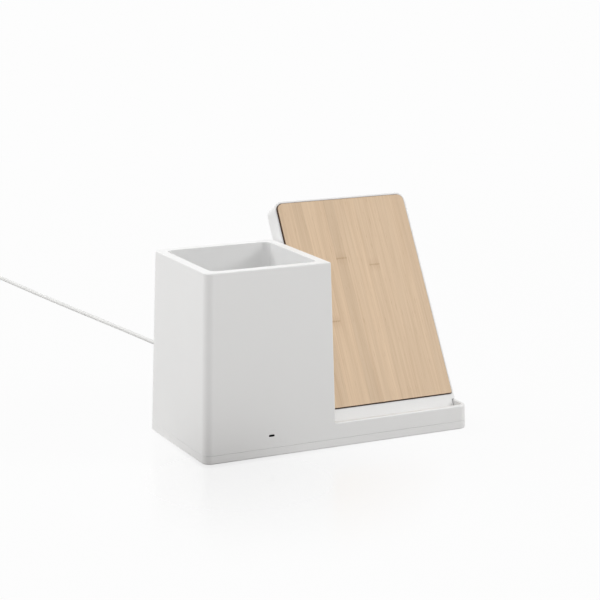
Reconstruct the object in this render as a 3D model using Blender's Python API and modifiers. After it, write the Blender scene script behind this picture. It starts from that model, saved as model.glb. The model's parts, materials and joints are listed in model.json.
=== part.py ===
"""Desk pen holder with a wireless charging backrest, modelled piece by piece at real size.

Metres, +Z up. X runs along the front from the cup to the channel, Y runs from the front to the back, and
the origin is on the table under the middle of the holder. Every length is a named value below.
"""

import math

import bmesh
import bpy
import numpy as np
from mathutils import Matrix, Vector

# Clearances
GAP = 0.0003
OVERRUN = 0.002

# Housing: the cup and the low base beside it
CUP_LENGTH = 0.073
TRAY_LENGTH = 0.078
BODY_DEPTH = 0.073
CUP_HEIGHT = 0.0956
LIP_HEIGHT = 0.0127
DRAFT = math.radians(1.5)
CORNER_RADIUS = 0.0045
CREASE_RADIUS = 0.001
RIM_FILLET = 0.0006
WALL = 0.002
WALL_STEP = 0.0003
RIM_WIDTH = 0.005
LINER_WALL = 0.0016
PARTITION_WALL = 0.0036
CAVITY_DRAFT = math.radians(1.0)
CAVITY_RADIUS = 0.0042
CAVITY_FILLET = 0.003
CUP_FLOOR_HEIGHT = 0.0145

# Channel for the device and its lip
CHANNEL_DEPTH = 0.0047
CHANNEL_LAND = 0.001
CHANNEL_RADIUS = 0.0015
LIP_WALL = 0.0021
LIP_FILLET = 0.0009
LIP_SEAM = 0.00001

# Lamp slot in the front face
SLOT_WIDTH = 0.0032
SLOT_HEIGHT = 0.0011
SLOT_CENTRE_HEIGHT = 0.0107
SLOT_FROM_LEFT = 0.0366

# Base cover, feet and its screws
COVER_HEIGHT = 0.0044
COVER_PLATE = 0.002
COVER_FILLET = 0.0005
TONGUE_WALL = 0.0011
TONGUE_HEIGHT = 0.0011
FOOT_STAND = 0.0006
FOOT_RADIUS = 0.005
FOOT_THICKNESS = 0.0015
FOOT_INSET = 0.0105
SCREW_END_INSET = 0.0255
SCREW_SIDE_INSET = 0.0095
SCREW_SHANK_RADIUS = 0.0011
SCREW_HEAD_RADIUS = 0.0021
SCREW_HEAD_HEIGHT = 0.0013
COVER_SCREW_LENGTH = 0.0048
COVER_BOSS_RADIUS = 0.0042
COVER_BOSS_HEIGHT = 0.0018
COUNTERBORE_DEPTH = 0.0022
HOUSING_BOSS_RADIUS = 0.003

# Backrest: a leaning slab with the wooden plate in front and a flat cover behind
LEAN = math.radians(30.3)
BACKREST_SETBACK = 0.005
BACKREST_REACH = 0.1332
BACKREST_THICKNESS = 0.0105
BACKREST_LEFT_OVERLAP = 0.0016
BACKREST_RIGHT_INSET = 0.0007
BACKREST_CORNER = 0.005
BACKREST_FRONT_FILLET = 0.0004
BACKREST_REAR_FILLET = 0.0006
PLATE_RIM = 0.0014
PLATE_PROUD = 0.0009
PLATE_THICKNESS = 0.002
PLATE_FOOT_REACH = 0.0181
PLATE_FOOT_RADIUS = 0.0008
PLATE_CHAMFER = 0.0002
FRONT_PLATE = 0.0016
REAR_COVER_THICKNESS = 0.002
REAR_COVER_RIM = 0.0013
REAR_COVER_LEDGE = 0.0012
REAR_COVER_FOOT_REACH = 0.0174
REAR_COVER_CHAMFER = 0.0003
BACK_BOSS_RADIUS = 0.0026
BACK_BOSS_INSET = 0.0062
BACK_SCREW_SHANK_RADIUS = 0.0009
BACK_SCREW_HEAD_RADIUS = 0.0018
BACK_SCREW_HEAD_HEIGHT = 0.001
BACK_SCREW_LENGTH = 0.0044
STAND_SCREW_INSET = 0.0165
STAND_SCREW_BACK = 0.0063
STAND_SCREW_GRIP = 0.0066

# Charging coil and what carries it
COIL_CENTRE_REACH = 0.078
WIRE_RADIUS = 0.0006
WINDING_INNER_RADIUS = 0.0105
WINDING_PITCH = 0.00165
WINDING_TURNS = 7
FERRITE_SIDE = 0.0478
FERRITE_THICKNESS = 0.0008
CARRIER_SIDE = 0.0536
CARRIER_WALL = 0.0014
CARRIER_RADIUS = 0.003
CARRIER_NOTCH = 0.006
BEAD_RADIUS = 0.0021
LEAD_RADIUS = 0.0007
LEAD_HOLE_RADIUS = 0.0014

# Circuit board and its components
BOARD_THICKNESS = 0.0016
BOARD_RADIUS = 0.002
BOARD_POST_HEIGHT = 0.0027
BOARD_POST_RADIUS = 0.0024
BOARD_POST_INSET = 0.0055
BOARD_LEFT_INSET = 0.0305
BOARD_REAR_INSET = 0.0045
BOARD_FRONT_GAP = 0.008
BOARD_MARGIN = 0.001
BOARD_SCREW_LENGTH = 0.0042
CONNECTOR_SIZE = (0.0064, 0.0042, 0.0026)
CONNECTOR_OFFSET = 0.0128
CHIP_SIZE = (0.006, 0.006, 0.001)
CHIP_SHARE = 0.42
INDUCTOR_SIDE = 0.0068
INDUCTOR_HEIGHT = 0.0024
INDUCTOR_RADIUS = 0.0012
INDUCTOR_SHARE = 0.6
CAPACITOR_SIZE = (0.0018, 0.0032, 0.0016)
CAPACITOR_COUNT = 4
CAPACITOR_PITCH = 0.0029
CAPACITOR_SHARE = 0.72
LAMP_SIZE = (0.0018, 0.0016, 0.0008)
LAMP_SETBACK = 0.0012
PIPE_MARGIN = 0.0003

# Socket and plug, micro USB
SOCKET_FROM_CUP = 0.0085
SOCKET_SHELL = 0.00035
SOCKET_DEPTH = 0.0053
SOCKET_BACK = 0.0008
TONGUE_WIDTH = 0.0036
TONGUE_THICKNESS = 0.0005
TONGUE_LENGTH = 0.0038
PLUG_WIDTH = 0.00685
PLUG_HEIGHT = 0.0018
PLUG_METAL = 0.0003
PLUG_HOLLOW = 0.0045
NOSE_WIDTH = 0.0094
NOSE_HEIGHT = 0.005
NOSE_RADIUS = 0.0012
PORT_CLEARANCE = 0.0004
GRIP_WIDTH = 0.0106
GRIP_HEIGHT = 0.0072
GRIP_LENGTH = 0.015
GRIP_RADIUS = 0.0016

# Cable: 1.5 m of thin round lead, the unseen length in a tied coil
CORD_RADIUS = 0.00125
RELIEF_LENGTH = 0.01
RELIEF_RADIUS = 0.0023
RELIEF_TIP_RADIUS = 0.0017
RELIEF_RIBS = 4
RELIEF_GROOVE = 0.0003
CORD_SPACING = 0.006
CORD_ROUTE = (
    (0.0060, 0.0584, 0.00905),
    (0.0060, 0.0680, 0.00895),
    (0.0059, 0.0820, 0.00700),
    (0.0053, 0.1000, 0.00360),
    (0.0037, 0.1200, 0.00170),
    (0.0014, 0.1450, 0.00126),
    (-0.0016, 0.1740, 0.00125),
    (-0.0050, 0.2020, 0.00125),
    (-0.0091, 0.2370, 0.00125),
    (-0.0136, 0.2720, 0.00125),
    (-0.0182, 0.3070, 0.00125),
    (-0.0227, 0.3430, 0.00125),
    (-0.0270, 0.3800, 0.00125),
    (-0.0319, 0.4260, 0.00125),
    (-0.0353, 0.4580, 0.00180),
    (-0.0363, 0.4680, 0.00220),
    (-0.0370, 0.4740, 0.00240),
)
HANK_TURN_RADIUS = 0.015
HANK_PITCH = 0.0033
HANK_LAYERS = 4
HANK_LAYER_TURNS = 2.5
HANK_STEPS = 24
TIE_WIDTH = 0.005
TIE_THICKNESS = 0.0008
TIE_CLEARANCE = 0.00035
TIE_RADIUS = 0.002
TAIL_LENGTH = 0.036
TAIL_SHARES = ((0, 0, 0), (0.15, 0, 0), (0.4, 0.3, 0.02), (0.65, 0.8, 0.03), (0.85, 1, 0.02), (1, 1, 0))
SUPPLY_GRIP_WIDTH = 0.0154
SUPPLY_GRIP_HEIGHT = 0.0078
SUPPLY_GRIP_LENGTH = 0.022
SUPPLY_SHELL_WIDTH = 0.012
SUPPLY_SHELL_HEIGHT = 0.0045
SUPPLY_SHELL_LENGTH = 0.0118
SUPPLY_SHELL_METAL = 0.0005
SUPPLY_HOLLOW = 0.009
SUPPLY_TONGUE_HEIGHT = 0.0019

# Facets
CORNER_STEPS = 5
FILLET_STEPS = 2
ROUND_STEPS = 24
SMALL_STEPS = 16
SCREW_STEPS = 12

# Levels above the table
SHELL_Z = FOOT_STAND
PLATE_Z = SHELL_Z + COVER_PLATE
PARTING_Z = SHELL_Z + COVER_HEIGHT
LIP_Z = SHELL_Z + LIP_HEIGHT
CHANNEL_Z = LIP_Z - CHANNEL_DEPTH
CUP_FLOOR_Z = SHELL_Z + CUP_FLOOR_HEIGHT
CUP_Z = SHELL_Z + CUP_HEIGHT
SLOT_Z = SHELL_Z + SLOT_CENTRE_HEIGHT
PIPE_WIDTH = SLOT_WIDTH + PIPE_MARGIN * 2
PIPE_THICKNESS = SLOT_HEIGHT + PIPE_MARGIN * 2
BOARD_Z = PLATE_Z + BOARD_POST_HEIGHT + GAP
BOARD_TOP_Z = BOARD_Z + BOARD_THICKNESS
PARTS_Z = BOARD_TOP_Z + GAP
SOCKET_HEIGHT = PLUG_HEIGHT + (GAP + SOCKET_SHELL) * 2
SOCKET_WIDTH = PLUG_WIDTH + (GAP + SOCKET_SHELL) * 2
SOCKET_Z = PARTS_Z + SOCKET_HEIGHT / 2

# Places in plan
REAR_ROUNDING = BACKREST_REAR_FILLET * (math.sin(LEAN) + math.cos(LEAN) - 1)
BACKREST_RISE = BACKREST_REACH * math.sin(LEAN) + BACKREST_THICKNESS * math.cos(LEAN)
OVERALL_DEPTH = BACKREST_SETBACK + BACKREST_RISE - REAR_ROUNDING
FRONT_Y = -OVERALL_DEPTH / 2
REAR_Y = FRONT_Y + BODY_DEPTH
MIDDLE_Y = (FRONT_Y + REAR_Y) / 2
BODY_LENGTH = CUP_LENGTH + TRAY_LENGTH
LEFT_X = -BODY_LENGTH / 2
RIGHT_X = BODY_LENGTH / 2
CUP_RIGHT_X = LEFT_X + CUP_LENGTH
SLOT_X = LEFT_X + SLOT_FROM_LEFT
BACKREST_Y = FRONT_Y + BACKREST_SETBACK
BACKREST_LEFT_X = CUP_RIGHT_X - BACKREST_LEFT_OVERLAP
BACKREST_RIGHT_X = RIGHT_X - BACKREST_RIGHT_INSET
BACKREST_MIDDLE_X = (BACKREST_LEFT_X + BACKREST_RIGHT_X) / 2
SOCKET_X = CUP_RIGHT_X + SOCKET_FROM_CUP

# Depths in the backrest, from its front face
PLATE_RECESS = PLATE_THICKNESS - PLATE_PROUD + GAP
PANEL_BACK = PLATE_RECESS + FRONT_PLATE
COVER_FRONT = BACKREST_THICKNESS - REAR_COVER_THICKNESS
WINDING_DEPTH = PANEL_BACK + GAP + WIRE_RADIUS
FERRITE_DEPTH = WINDING_DEPTH + WIRE_RADIUS + GAP
CARRIER_FLOOR_DEPTH = FERRITE_DEPTH + FERRITE_THICKNESS + GAP
CARRIER_BACK_DEPTH = COVER_FRONT - GAP


def draft_inset(height):
    """How far the drafted outer faces stand in at this level."""
    return math.tan(DRAFT) * (height - SHELL_Z)


CHANNEL_RIGHT_X = RIGHT_X - draft_inset(LIP_Z) - LIP_WALL
CHANNEL_FRONT_Y = FRONT_Y + draft_inset(LIP_Z) + LIP_WALL


def backrest_front_y(height):
    """Where the backrest's front plane is at this level."""
    return BACKREST_Y + math.tan(LEAN) * (height - SHELL_Z)


def backrest_rear_y(height):
    """Where the backrest's rear plane is at this level."""
    return backrest_front_y(height) + BACKREST_THICKNESS / math.cos(LEAN)


SEAT_WALL_Y = backrest_rear_y(LIP_Z) + WALL
CONNECTOR_X = BACKREST_MIDDLE_X - CONNECTOR_OFFSET
BOARD_LEFT_X = LEFT_X + BOARD_LEFT_INSET
BOARD_RIGHT_X = CONNECTOR_X + CONNECTOR_SIZE[0] / 2 + BOARD_MARGIN
BOARD_FRONT_Y = SEAT_WALL_Y + BOARD_FRONT_GAP
BOARD_REAR_Y = REAR_Y - BOARD_REAR_INSET


def backrest_point(x, depth, reach):
    """The world place of a point given in the backrest: across, in from its front, and up along its lean."""
    back = Vector((0, math.cos(LEAN), -math.sin(LEAN)))
    up = Vector((0, math.sin(LEAN), math.cos(LEAN)))
    return Vector((x, BACKREST_Y, SHELL_Z)) + back * depth + up * reach


# Scene


def clear_scene():
    for thing in list(bpy.data.objects):
        bpy.data.objects.remove(thing, do_unlink=True)


def new_collection(name):
    group = bpy.data.collections.new(name)
    bpy.context.scene.collection.children.link(group)
    return group


def finish(name, color, roughness, metallic=0.0):
    material = bpy.data.materials.new(name)
    material.use_nodes = True
    shader = material.node_tree.nodes["Principled BSDF"]
    shader.inputs["Base Color"].default_value = (*color, 1.0)
    shader.inputs["Roughness"].default_value = roughness
    shader.inputs["Metallic"].default_value = metallic
    material.diffuse_color = (*color, 1.0)
    return material


def place(name, bm, material=None, parent=None):
    """Turns a bmesh into an object: a part when it has a material, and a cutter when it has none."""
    bmesh.ops.recalc_face_normals(bm, faces=bm.faces)
    mesh = bpy.data.meshes.new(name)
    bm.to_mesh(mesh)
    bm.free()
    thing = bpy.data.objects.new(name, mesh)
    if material is None:
        CUTTERS.objects.link(thing)
        thing.hide_render = True
        thing.display_type = "WIRE"
    else:
        PARTS.objects.link(thing)
        mesh.materials.append(material)
        mesh.shade_smooth()
        mesh.set_sharp_from_angle(angle=math.radians(35))
    thing.parent = parent
    return thing


def combine(target, other, operation="DIFFERENCE"):
    step = target.modifiers.new(other.name, "BOOLEAN")
    step.operation = operation
    step.solver = "EXACT"
    step.object = other


# Shapes


def block(low, high):
    """A box between two corners."""
    bm = bmesh.new()
    bmesh.ops.create_cube(bm, size=1.0)
    low, high = Vector(low), Vector(high)
    size = high - low
    bmesh.ops.scale(bm, vec=size, verts=bm.verts)
    bmesh.ops.translate(bm, vec=(low + high) / 2, verts=bm.verts)
    return bm


def edges_along(bm, axis):
    """The edges parallel to an axis."""
    found = []
    for edge in bm.edges:
        run = edge.verts[1].co - edge.verts[0].co
        if abs(run[axis]) > 0.999 * run.length:
            found.append(edge)
    return found


def face_towards(bm, direction):
    """The face that lies farthest along a direction and looks that way."""
    direction = Vector(direction)
    looking = [face for face in bm.faces if face.normal.dot(direction) > 0.999]
    return max(looking, key=lambda face: face.calc_center_median().dot(direction))


def round_edges(bm, edges, radius, steps):
    circular = {"profile": 0.5, "offset_type": "OFFSET"}
    bmesh.ops.bevel(bm, geom=edges, offset=radius, segments=steps, affect="EDGES", material=-1, **circular)
    bm.normal_update()


def rounded_block(low, high, radius, axis=2, steps=CORNER_STEPS):
    """A box with its four edges along one axis rounded."""
    bm = block(low, high)
    round_edges(bm, edges_along(bm, axis), radius, steps)
    return bm


def draft_body(bm):
    """Draws the outer faces of the housing and its cover in with height, each side by the draft angle."""
    half_depth = BODY_DEPTH / 2
    for vert in bm.verts:
        inset = draft_inset(vert.co.z)
        vert.co.y = MIDDLE_Y + (vert.co.y - MIDDLE_Y) * (1 - inset / half_depth)
        share = min(1.0, (vert.co.x - LEFT_X) / CUP_LENGTH)
        vert.co.x += inset * (1 - 2 * share)


def cylinders(radius, low, high, spots, steps=SMALL_STEPS, axis="Z"):
    """Cylinders that start and end at two levels along an axis, one at each place."""
    along = Vector((0, 0, 1)) if axis == "Z" else Vector((0, 1, 0))
    upright = Matrix() if axis == "Z" else Matrix.Rotation(math.radians(90), 4, "X")
    bm = bmesh.new()
    for spot in spots:
        middle = Matrix.Translation(Vector(spot) + along * (low + high) / 2)
        bmesh.ops.create_cone(
            bm,
            cap_ends=True,
            segments=steps,
            radius1=radius,
            radius2=radius,
            depth=high - low,
            matrix=middle @ upright,
        )
    return bm


def turned(name, profile, steps, material, parent=None):
    """A solid turned round Z from (radius, height) points listed from its top to its bottom."""
    bm = bmesh.new()
    verts = [bm.verts.new((radius, 0, height)) for radius, height in profile]
    for pair in zip(verts, verts[1:]):
        bm.edges.new(pair)
    mesh = bpy.data.meshes.new(name + "_profile")
    bm.to_mesh(mesh)
    bm.free()
    mesh.materials.append(material)
    thing = bpy.data.objects.new(name, mesh)
    PARTS.objects.link(thing)
    thing.parent = parent
    turning = thing.modifiers.new("Screw", "SCREW")
    turning.axis = "Z"
    turning.angle = math.tau
    turning.steps = turning.render_steps = steps
    turning.use_merge_vertices = True
    turning.merge_threshold = GAP / 10
    return thing


def screw_set(name, sizes, spots, rotation=(0, 0, 0), parent=None):
    """Pan head screws, one at each place, with the head's underside there and the shank up from it."""
    shank_radius, head_radius, head_height, length = sizes
    profile = (
        (0, length),
        (shank_radius, length - shank_radius),
        (shank_radius, 0),
        (head_radius, 0),
        (head_radius, -head_height / 2),
        (head_radius * 0.7, -head_height),
        (0, -head_height),
    )
    for number, spot in enumerate(spots, start=1):
        screw = turned(f"{name}_{number}", profile, SCREW_STEPS, STEEL, parent)
        screw.location = spot
        screw.rotation_euler = rotation


def tube(name, points, radius, resolution, material):
    """A tube with closed ends through the points."""
    curve = bpy.data.curves.new(name, "CURVE")
    curve.dimensions = "3D"
    curve.bevel_depth = radius
    curve.bevel_resolution = resolution
    curve.use_fill_caps = True
    spline = curve.splines.new("POLY")
    spline.points.add(len(points) - 1)
    for point, spot in zip(spline.points, points):
        point.co = (*spot, 1.0)
    thing = bpy.data.objects.new(name, curve)
    PARTS.objects.link(thing)
    curve.materials.append(material)
    return thing


def smooth_route(route, spacing):
    """Points at an even spacing on a smooth curve through the route's own points."""
    knots = [Vector(point) for point in route]
    knots = [knots[0] * 2 - knots[1]] + knots + [knots[-1] * 2 - knots[-2]]
    fine = []
    for before, start, end, after in zip(knots, knots[1:], knots[2:], knots[3:]):
        for share in np.linspace(0, 1, 24, endpoint=False):
            bend = (before * -1 + start * 3 - end * 3 + after) * share**3
            bend += (before * 2 - start * 5 + end * 4 - after) * share**2
            bend += (end - before) * share
            fine.append(start + bend / 2)
    fine.append(knots[-2])
    fine = np.array(fine)
    runs = np.concatenate([[0], np.cumsum(np.linalg.norm(np.diff(fine, axis=0), axis=1))])
    stations = np.linspace(0, runs[-1], max(2, round(runs[-1] / spacing)) + 1)
    return np.stack([np.interp(stations, runs, fine[:, axis]) for axis in range(3)], axis=1)


# Housing


def housing_blank():
    """The base with the cup standing on its left part, both flush in front, on the left and behind."""
    bm = rounded_block((LEFT_X, FRONT_Y, PARTING_Z), (RIGHT_X, REAR_Y, LIP_Z), CORNER_RADIUS)
    deck = face_towards(bm, (0, 0, 1))
    corners = []
    for side_y, radius in ((FRONT_Y, CREASE_RADIUS), (REAR_Y, CORNER_RADIUS)):
        edge = min(deck.edges, key=lambda item: abs((item.verts[0].co + item.verts[1].co).y / 2 - side_y))
        start, end = edge.verts
        share = (CUP_RIGHT_X - radius - start.co.x) / (end.co.x - start.co.x)
        corners.append(bmesh.utils.edge_split(edge, start, share)[1])
    outline = []
    for side_y, inward, radius in ((FRONT_Y, 1, CREASE_RADIUS), (REAR_Y, -1, CORNER_RADIUS)):
        arc = []
        for step in range(1, CORNER_STEPS + 1):
            angle = math.radians(90) * step / CORNER_STEPS
            x = CUP_RIGHT_X - radius + radius * math.sin(angle)
            arc.append((x, side_y + inward * radius * (1 - math.cos(angle)), LIP_Z))
        outline += arc if inward > 0 else arc[::-1]
    bmesh.utils.face_split(deck, corners[0], corners[1], coords=outline)
    bm.normal_update()
    tops = [face for face in bm.faces if face.normal.z > 0.999]
    cup_top = min(tops, key=lambda face: face.calc_center_median().x)
    raised = bmesh.ops.extrude_face_region(bm, geom=[cup_top])["geom"]
    bmesh.ops.delete(bm, geom=[cup_top], context="FACES_ONLY")
    verts = [item for item in raised if isinstance(item, bmesh.types.BMVert)]
    bmesh.ops.translate(bm, vec=(0, 0, CUP_Z - LIP_Z), verts=verts)
    bm.normal_update()
    round_edges(bm, list(face_towards(bm, (0, 0, 1)).edges), RIM_FILLET, FILLET_STEPS)
    draft_body(bm)
    return bm


def cavity_shape(growth, floor_z, top_z, radius, fillet):
    """The pen cavity, narrowing downwards, grown on every side by a wall."""
    left = LEFT_X + draft_inset(CUP_Z) + RIM_WIDTH - growth
    right = CUP_RIGHT_X - draft_inset(CUP_Z) - RIM_WIDTH + growth
    front = FRONT_Y + draft_inset(CUP_Z) + RIM_WIDTH - growth
    rear = REAR_Y - draft_inset(CUP_Z) - RIM_WIDTH + growth
    bm = rounded_block((left, front, floor_z), (right, rear, top_z), radius)
    if fillet:
        round_edges(bm, list(face_towards(bm, (0, 0, -1)).edges), fillet, FILLET_STEPS + 1)
    middle = Vector(((left + right) / 2, (front + rear) / 2, 0))
    half = Vector(((right - left) / 2, (rear - front) / 2, 0))
    for vert in bm.verts:
        inset = math.tan(CAVITY_DRAFT) * (CUP_Z - vert.co.z)
        vert.co.x = middle.x + (vert.co.x - middle.x) * (1 - inset / half.x)
        vert.co.y = middle.y + (vert.co.y - middle.y) * (1 - inset / half.y)
    return bm


def room(name, left, front, right, rear, top, wall):
    """A hollow of the base, open below, whose outer sides follow the drafted walls."""
    low = (max(left, LEFT_X + wall), max(front, FRONT_Y + wall), PARTING_Z - OVERRUN)
    high = (min(right, RIGHT_X - wall), min(rear, REAR_Y - wall), top)
    bm = rounded_block(low, high, CORNER_RADIUS - WALL, steps=FILLET_STEPS)
    draft_body(bm)
    return place(name, bm)


def cover_screw_spots():
    ends = (LEFT_X + SCREW_END_INSET, RIGHT_X - SCREW_END_INSET)
    sides = (FRONT_Y + SCREW_SIDE_INSET, REAR_Y - SCREW_SIDE_INSET)
    return [(x, y, 0) for x in ends for y in sides]


def stand_screw_spots():
    y = backrest_front_y(CHANNEL_Z) + STAND_SCREW_BACK
    return [(BACKREST_LEFT_X + STAND_SCREW_INSET, y, 0), (BACKREST_RIGHT_X - STAND_SCREW_INSET, y, 0)]


def lead_hole_spot():
    return (BACKREST_MIDDLE_X, backrest_rear_y(CHANNEL_Z) - 2 * LEAD_HOLE_RADIUS, 0)


def seat_cutter():
    """The slanted seat that the backrest's foot and left edge stand in."""
    low = (BACKREST_LEFT_X - GAP, -GAP, 0)
    high = (CHANNEL_RIGHT_X, BACKREST_THICKNESS + GAP, BACKREST_REACH + OVERRUN)
    seat = place("seat_cutter", block(low, high), parent=BACKREST_AXIS)
    below = block((2 * LEFT_X, FRONT_Y - BODY_DEPTH, SHELL_Z - BODY_DEPTH), (2 * RIGHT_X, REAR_Y, CHANNEL_Z))
    combine(seat, place("seat_floor_cutter", below))
    return seat


def build_housing():
    housing = place("housing", housing_blank(), WHITE_SATIN)
    cavity = cavity_shape(0, CUP_FLOOR_Z, CUP_Z + OVERRUN, CAVITY_RADIUS, CAVITY_FILLET)
    combine(housing, place("cavity_cutter", cavity))

    # The space between the cup's outer wall and its liner wall
    low = (LEFT_X + WALL + WALL_STEP * 3, FRONT_Y + WALL + WALL_STEP * 3, CUP_FLOOR_Z - WALL * 2)
    high = (CUP_RIGHT_X - PARTITION_WALL, REAR_Y - WALL - WALL_STEP * 3, CUP_Z - WALL)
    between = rounded_block(low, high, CORNER_RADIUS - WALL, steps=FILLET_STEPS)
    draft_body(between)
    between = place("wall_gap_cutter", between)
    liner_floor = CUP_FLOOR_Z - LINER_WALL * 2
    liner = cavity_shape(LINER_WALL, liner_floor, CUP_Z + OVERRUN, CAVITY_RADIUS + LINER_WALL, 0)
    combine(between, place("liner_keeper", liner))
    combine(housing, between)

    # Hollows of the base: low all over, higher under the cup and behind the backrest
    cup_room_right = BACKREST_LEFT_X - GAP - WALL
    low_room = room("low_room", LEFT_X, FRONT_Y, RIGHT_X, REAR_Y, CHANNEL_Z - WALL, WALL)
    cup_room = room("cup_room", LEFT_X, FRONT_Y, cup_room_right, REAR_Y, CUP_FLOOR_Z - WALL, WALL + WALL_STEP)
    rear_left = cup_room_right - CORNER_RADIUS * 2
    rear_room = room("rear_room", rear_left, SEAT_WALL_Y, RIGHT_X, REAR_Y, LIP_Z - WALL, WALL + WALL_STEP * 2)
    for hollow in (low_room, cup_room, rear_room):
        combine(housing, hollow)
    combine(housing, lip_edge_cutter())

    # The channel in front of the backrest, and the backrest's seat
    low = (CUP_RIGHT_X + CHANNEL_LAND, CHANNEL_FRONT_Y, CHANNEL_Z)
    high = (CHANNEL_RIGHT_X, backrest_front_y(CHANNEL_Z) + BACKREST_THICKNESS / 2, LIP_Z + OVERRUN)
    combine(housing, place("channel_cutter", rounded_block(low, high, CHANNEL_RADIUS, steps=FILLET_STEPS)))
    combine(housing, seat_cutter())

    # Screw bosses that reach down to the cover's
    boss_low = PLATE_Z + COVER_BOSS_HEIGHT + GAP
    front_ceiling = CHANNEL_Z - WALL / 2
    spots = cover_screw_spots()
    bosses = cylinders(HOUSING_BOSS_RADIUS, boss_low, front_ceiling, spots[2:3])
    combine(housing, place("front_boss", bosses), "UNION")
    bosses = cylinders(HOUSING_BOSS_RADIUS, boss_low, LIP_Z - WALL / 2, spots[3:])
    combine(housing, place("rear_boss", bosses), "UNION")
    bosses = cylinders(HOUSING_BOSS_RADIUS, boss_low, CUP_FLOOR_Z - WALL / 2, spots[:2])
    combine(housing, place("cup_bosses", bosses), "UNION")
    pilot_top = SHELL_Z + COUNTERBORE_DEPTH + COVER_SCREW_LENGTH
    pilots = cylinders(SCREW_SHANK_RADIUS + GAP, boss_low - OVERRUN, pilot_top, spots)
    combine(housing, place("pilot_cutter", pilots))

    # Lamp slot, plug port, and the holes under the backrest
    slot_low = (SLOT_X - SLOT_WIDTH / 2, FRONT_Y - OVERRUN, SLOT_Z - SLOT_HEIGHT / 2)
    slot_high = (SLOT_X + SLOT_WIDTH / 2, FRONT_Y + WALL * 2, SLOT_Z + SLOT_HEIGHT / 2)
    slot = rounded_block(slot_low, slot_high, SLOT_HEIGHT * 0.49, axis=1, steps=FILLET_STEPS)
    combine(housing, place("slot_cutter", slot))
    half_width = NOSE_WIDTH / 2 + PORT_CLEARANCE
    half_height = NOSE_HEIGHT / 2 + PORT_CLEARANCE
    port_low = (SOCKET_X - half_width, REAR_Y - WALL * 2, SOCKET_Z - half_height)
    port_high = (SOCKET_X + half_width, REAR_Y + OVERRUN, SOCKET_Z + half_height)
    port = rounded_block(port_low, port_high, NOSE_RADIUS + PORT_CLEARANCE, axis=1, steps=FILLET_STEPS)
    combine(housing, place("port_cutter", port))
    hole_radius = SCREW_SHANK_RADIUS + GAP
    holes = cylinders(hole_radius, CHANNEL_Z - WALL * 2, CHANNEL_Z + OVERRUN, stand_screw_spots())
    combine(housing, place("stand_hole_cutter", holes))
    holes = cylinders(LEAD_HOLE_RADIUS, CHANNEL_Z - WALL * 2, CHANNEL_Z + OVERRUN, [lead_hole_spot()])
    combine(housing, place("lead_hole_cutter", holes))


def lip_edge_cutter():
    """What the round edge takes off the low part's upper edge, from the cup's side round to behind it."""
    low = (CUP_RIGHT_X + CHANNEL_LAND / 2, FRONT_Y - OVERRUN, LIP_Z - LIP_FILLET * 2)
    around = place("lip_edge_cutter", block(low, (RIGHT_X + OVERRUN, REAR_Y + OVERRUN, LIP_Z + OVERRUN)))
    high = (RIGHT_X + LIP_SEAM, REAR_Y + LIP_SEAM, LIP_Z + LIP_SEAM)
    kept = rounded_block((LEFT_X, FRONT_Y - LIP_SEAM, PARTING_Z), high, CORNER_RADIUS + LIP_SEAM)
    round_edges(kept, list(face_towards(kept, (0, 0, 1)).edges), LIP_FILLET, FILLET_STEPS + 1)
    draft_body(kept)
    combine(around, place("lip_kept_cutter", kept))
    return around


# Base cover, feet and screws


def stepped(bm, face, inset, level):
    """Draws a level face in by an inset, and moves what is left of it to another level."""
    bmesh.ops.inset_region(bm, faces=[face], thickness=inset, use_even_offset=True)
    moved = bmesh.ops.extrude_face_region(bm, geom=[face])["geom"]
    bmesh.ops.delete(bm, geom=[face], context="FACES_ONLY")
    verts = [item for item in moved if isinstance(item, bmesh.types.BMVert)]
    bmesh.ops.translate(bm, vec=(0, 0, level - verts[0].co.z), verts=verts)
    bm.normal_update()
    return next(item for item in moved if isinstance(item, bmesh.types.BMFace))


def cover_blank():
    """A tray with a tongue inside its edge that locates it in the housing."""
    bm = rounded_block((LEFT_X, FRONT_Y, SHELL_Z), (RIGHT_X, REAR_Y, PARTING_Z - GAP), CORNER_RADIUS)
    round_edges(bm, list(face_towards(bm, (0, 0, -1)).edges), COVER_FILLET, 1)
    top = face_towards(bm, (0, 0, 1))
    tongue = stepped(bm, top, WALL + GAP, PARTING_Z + TONGUE_HEIGHT)
    stepped(bm, tongue, TONGUE_WALL, PLATE_Z)
    draft_body(bm)
    return bm


def foot_spots():
    xs = (LEFT_X + FOOT_INSET, RIGHT_X - FOOT_INSET)
    ys = (FRONT_Y + FOOT_INSET, REAR_Y - FOOT_INSET)
    return [(x, y, 0) for x in xs for y in ys]


def board_screw_spots():
    xs = (BOARD_LEFT_X + BOARD_POST_INSET, BOARD_RIGHT_X - BOARD_POST_INSET)
    ys = (BOARD_FRONT_Y + CONNECTOR_SIZE[1] + BOARD_POST_INSET, BOARD_REAR_Y - BOARD_POST_INSET)
    return [(x, y, 0) for x in xs for y in ys]


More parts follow.
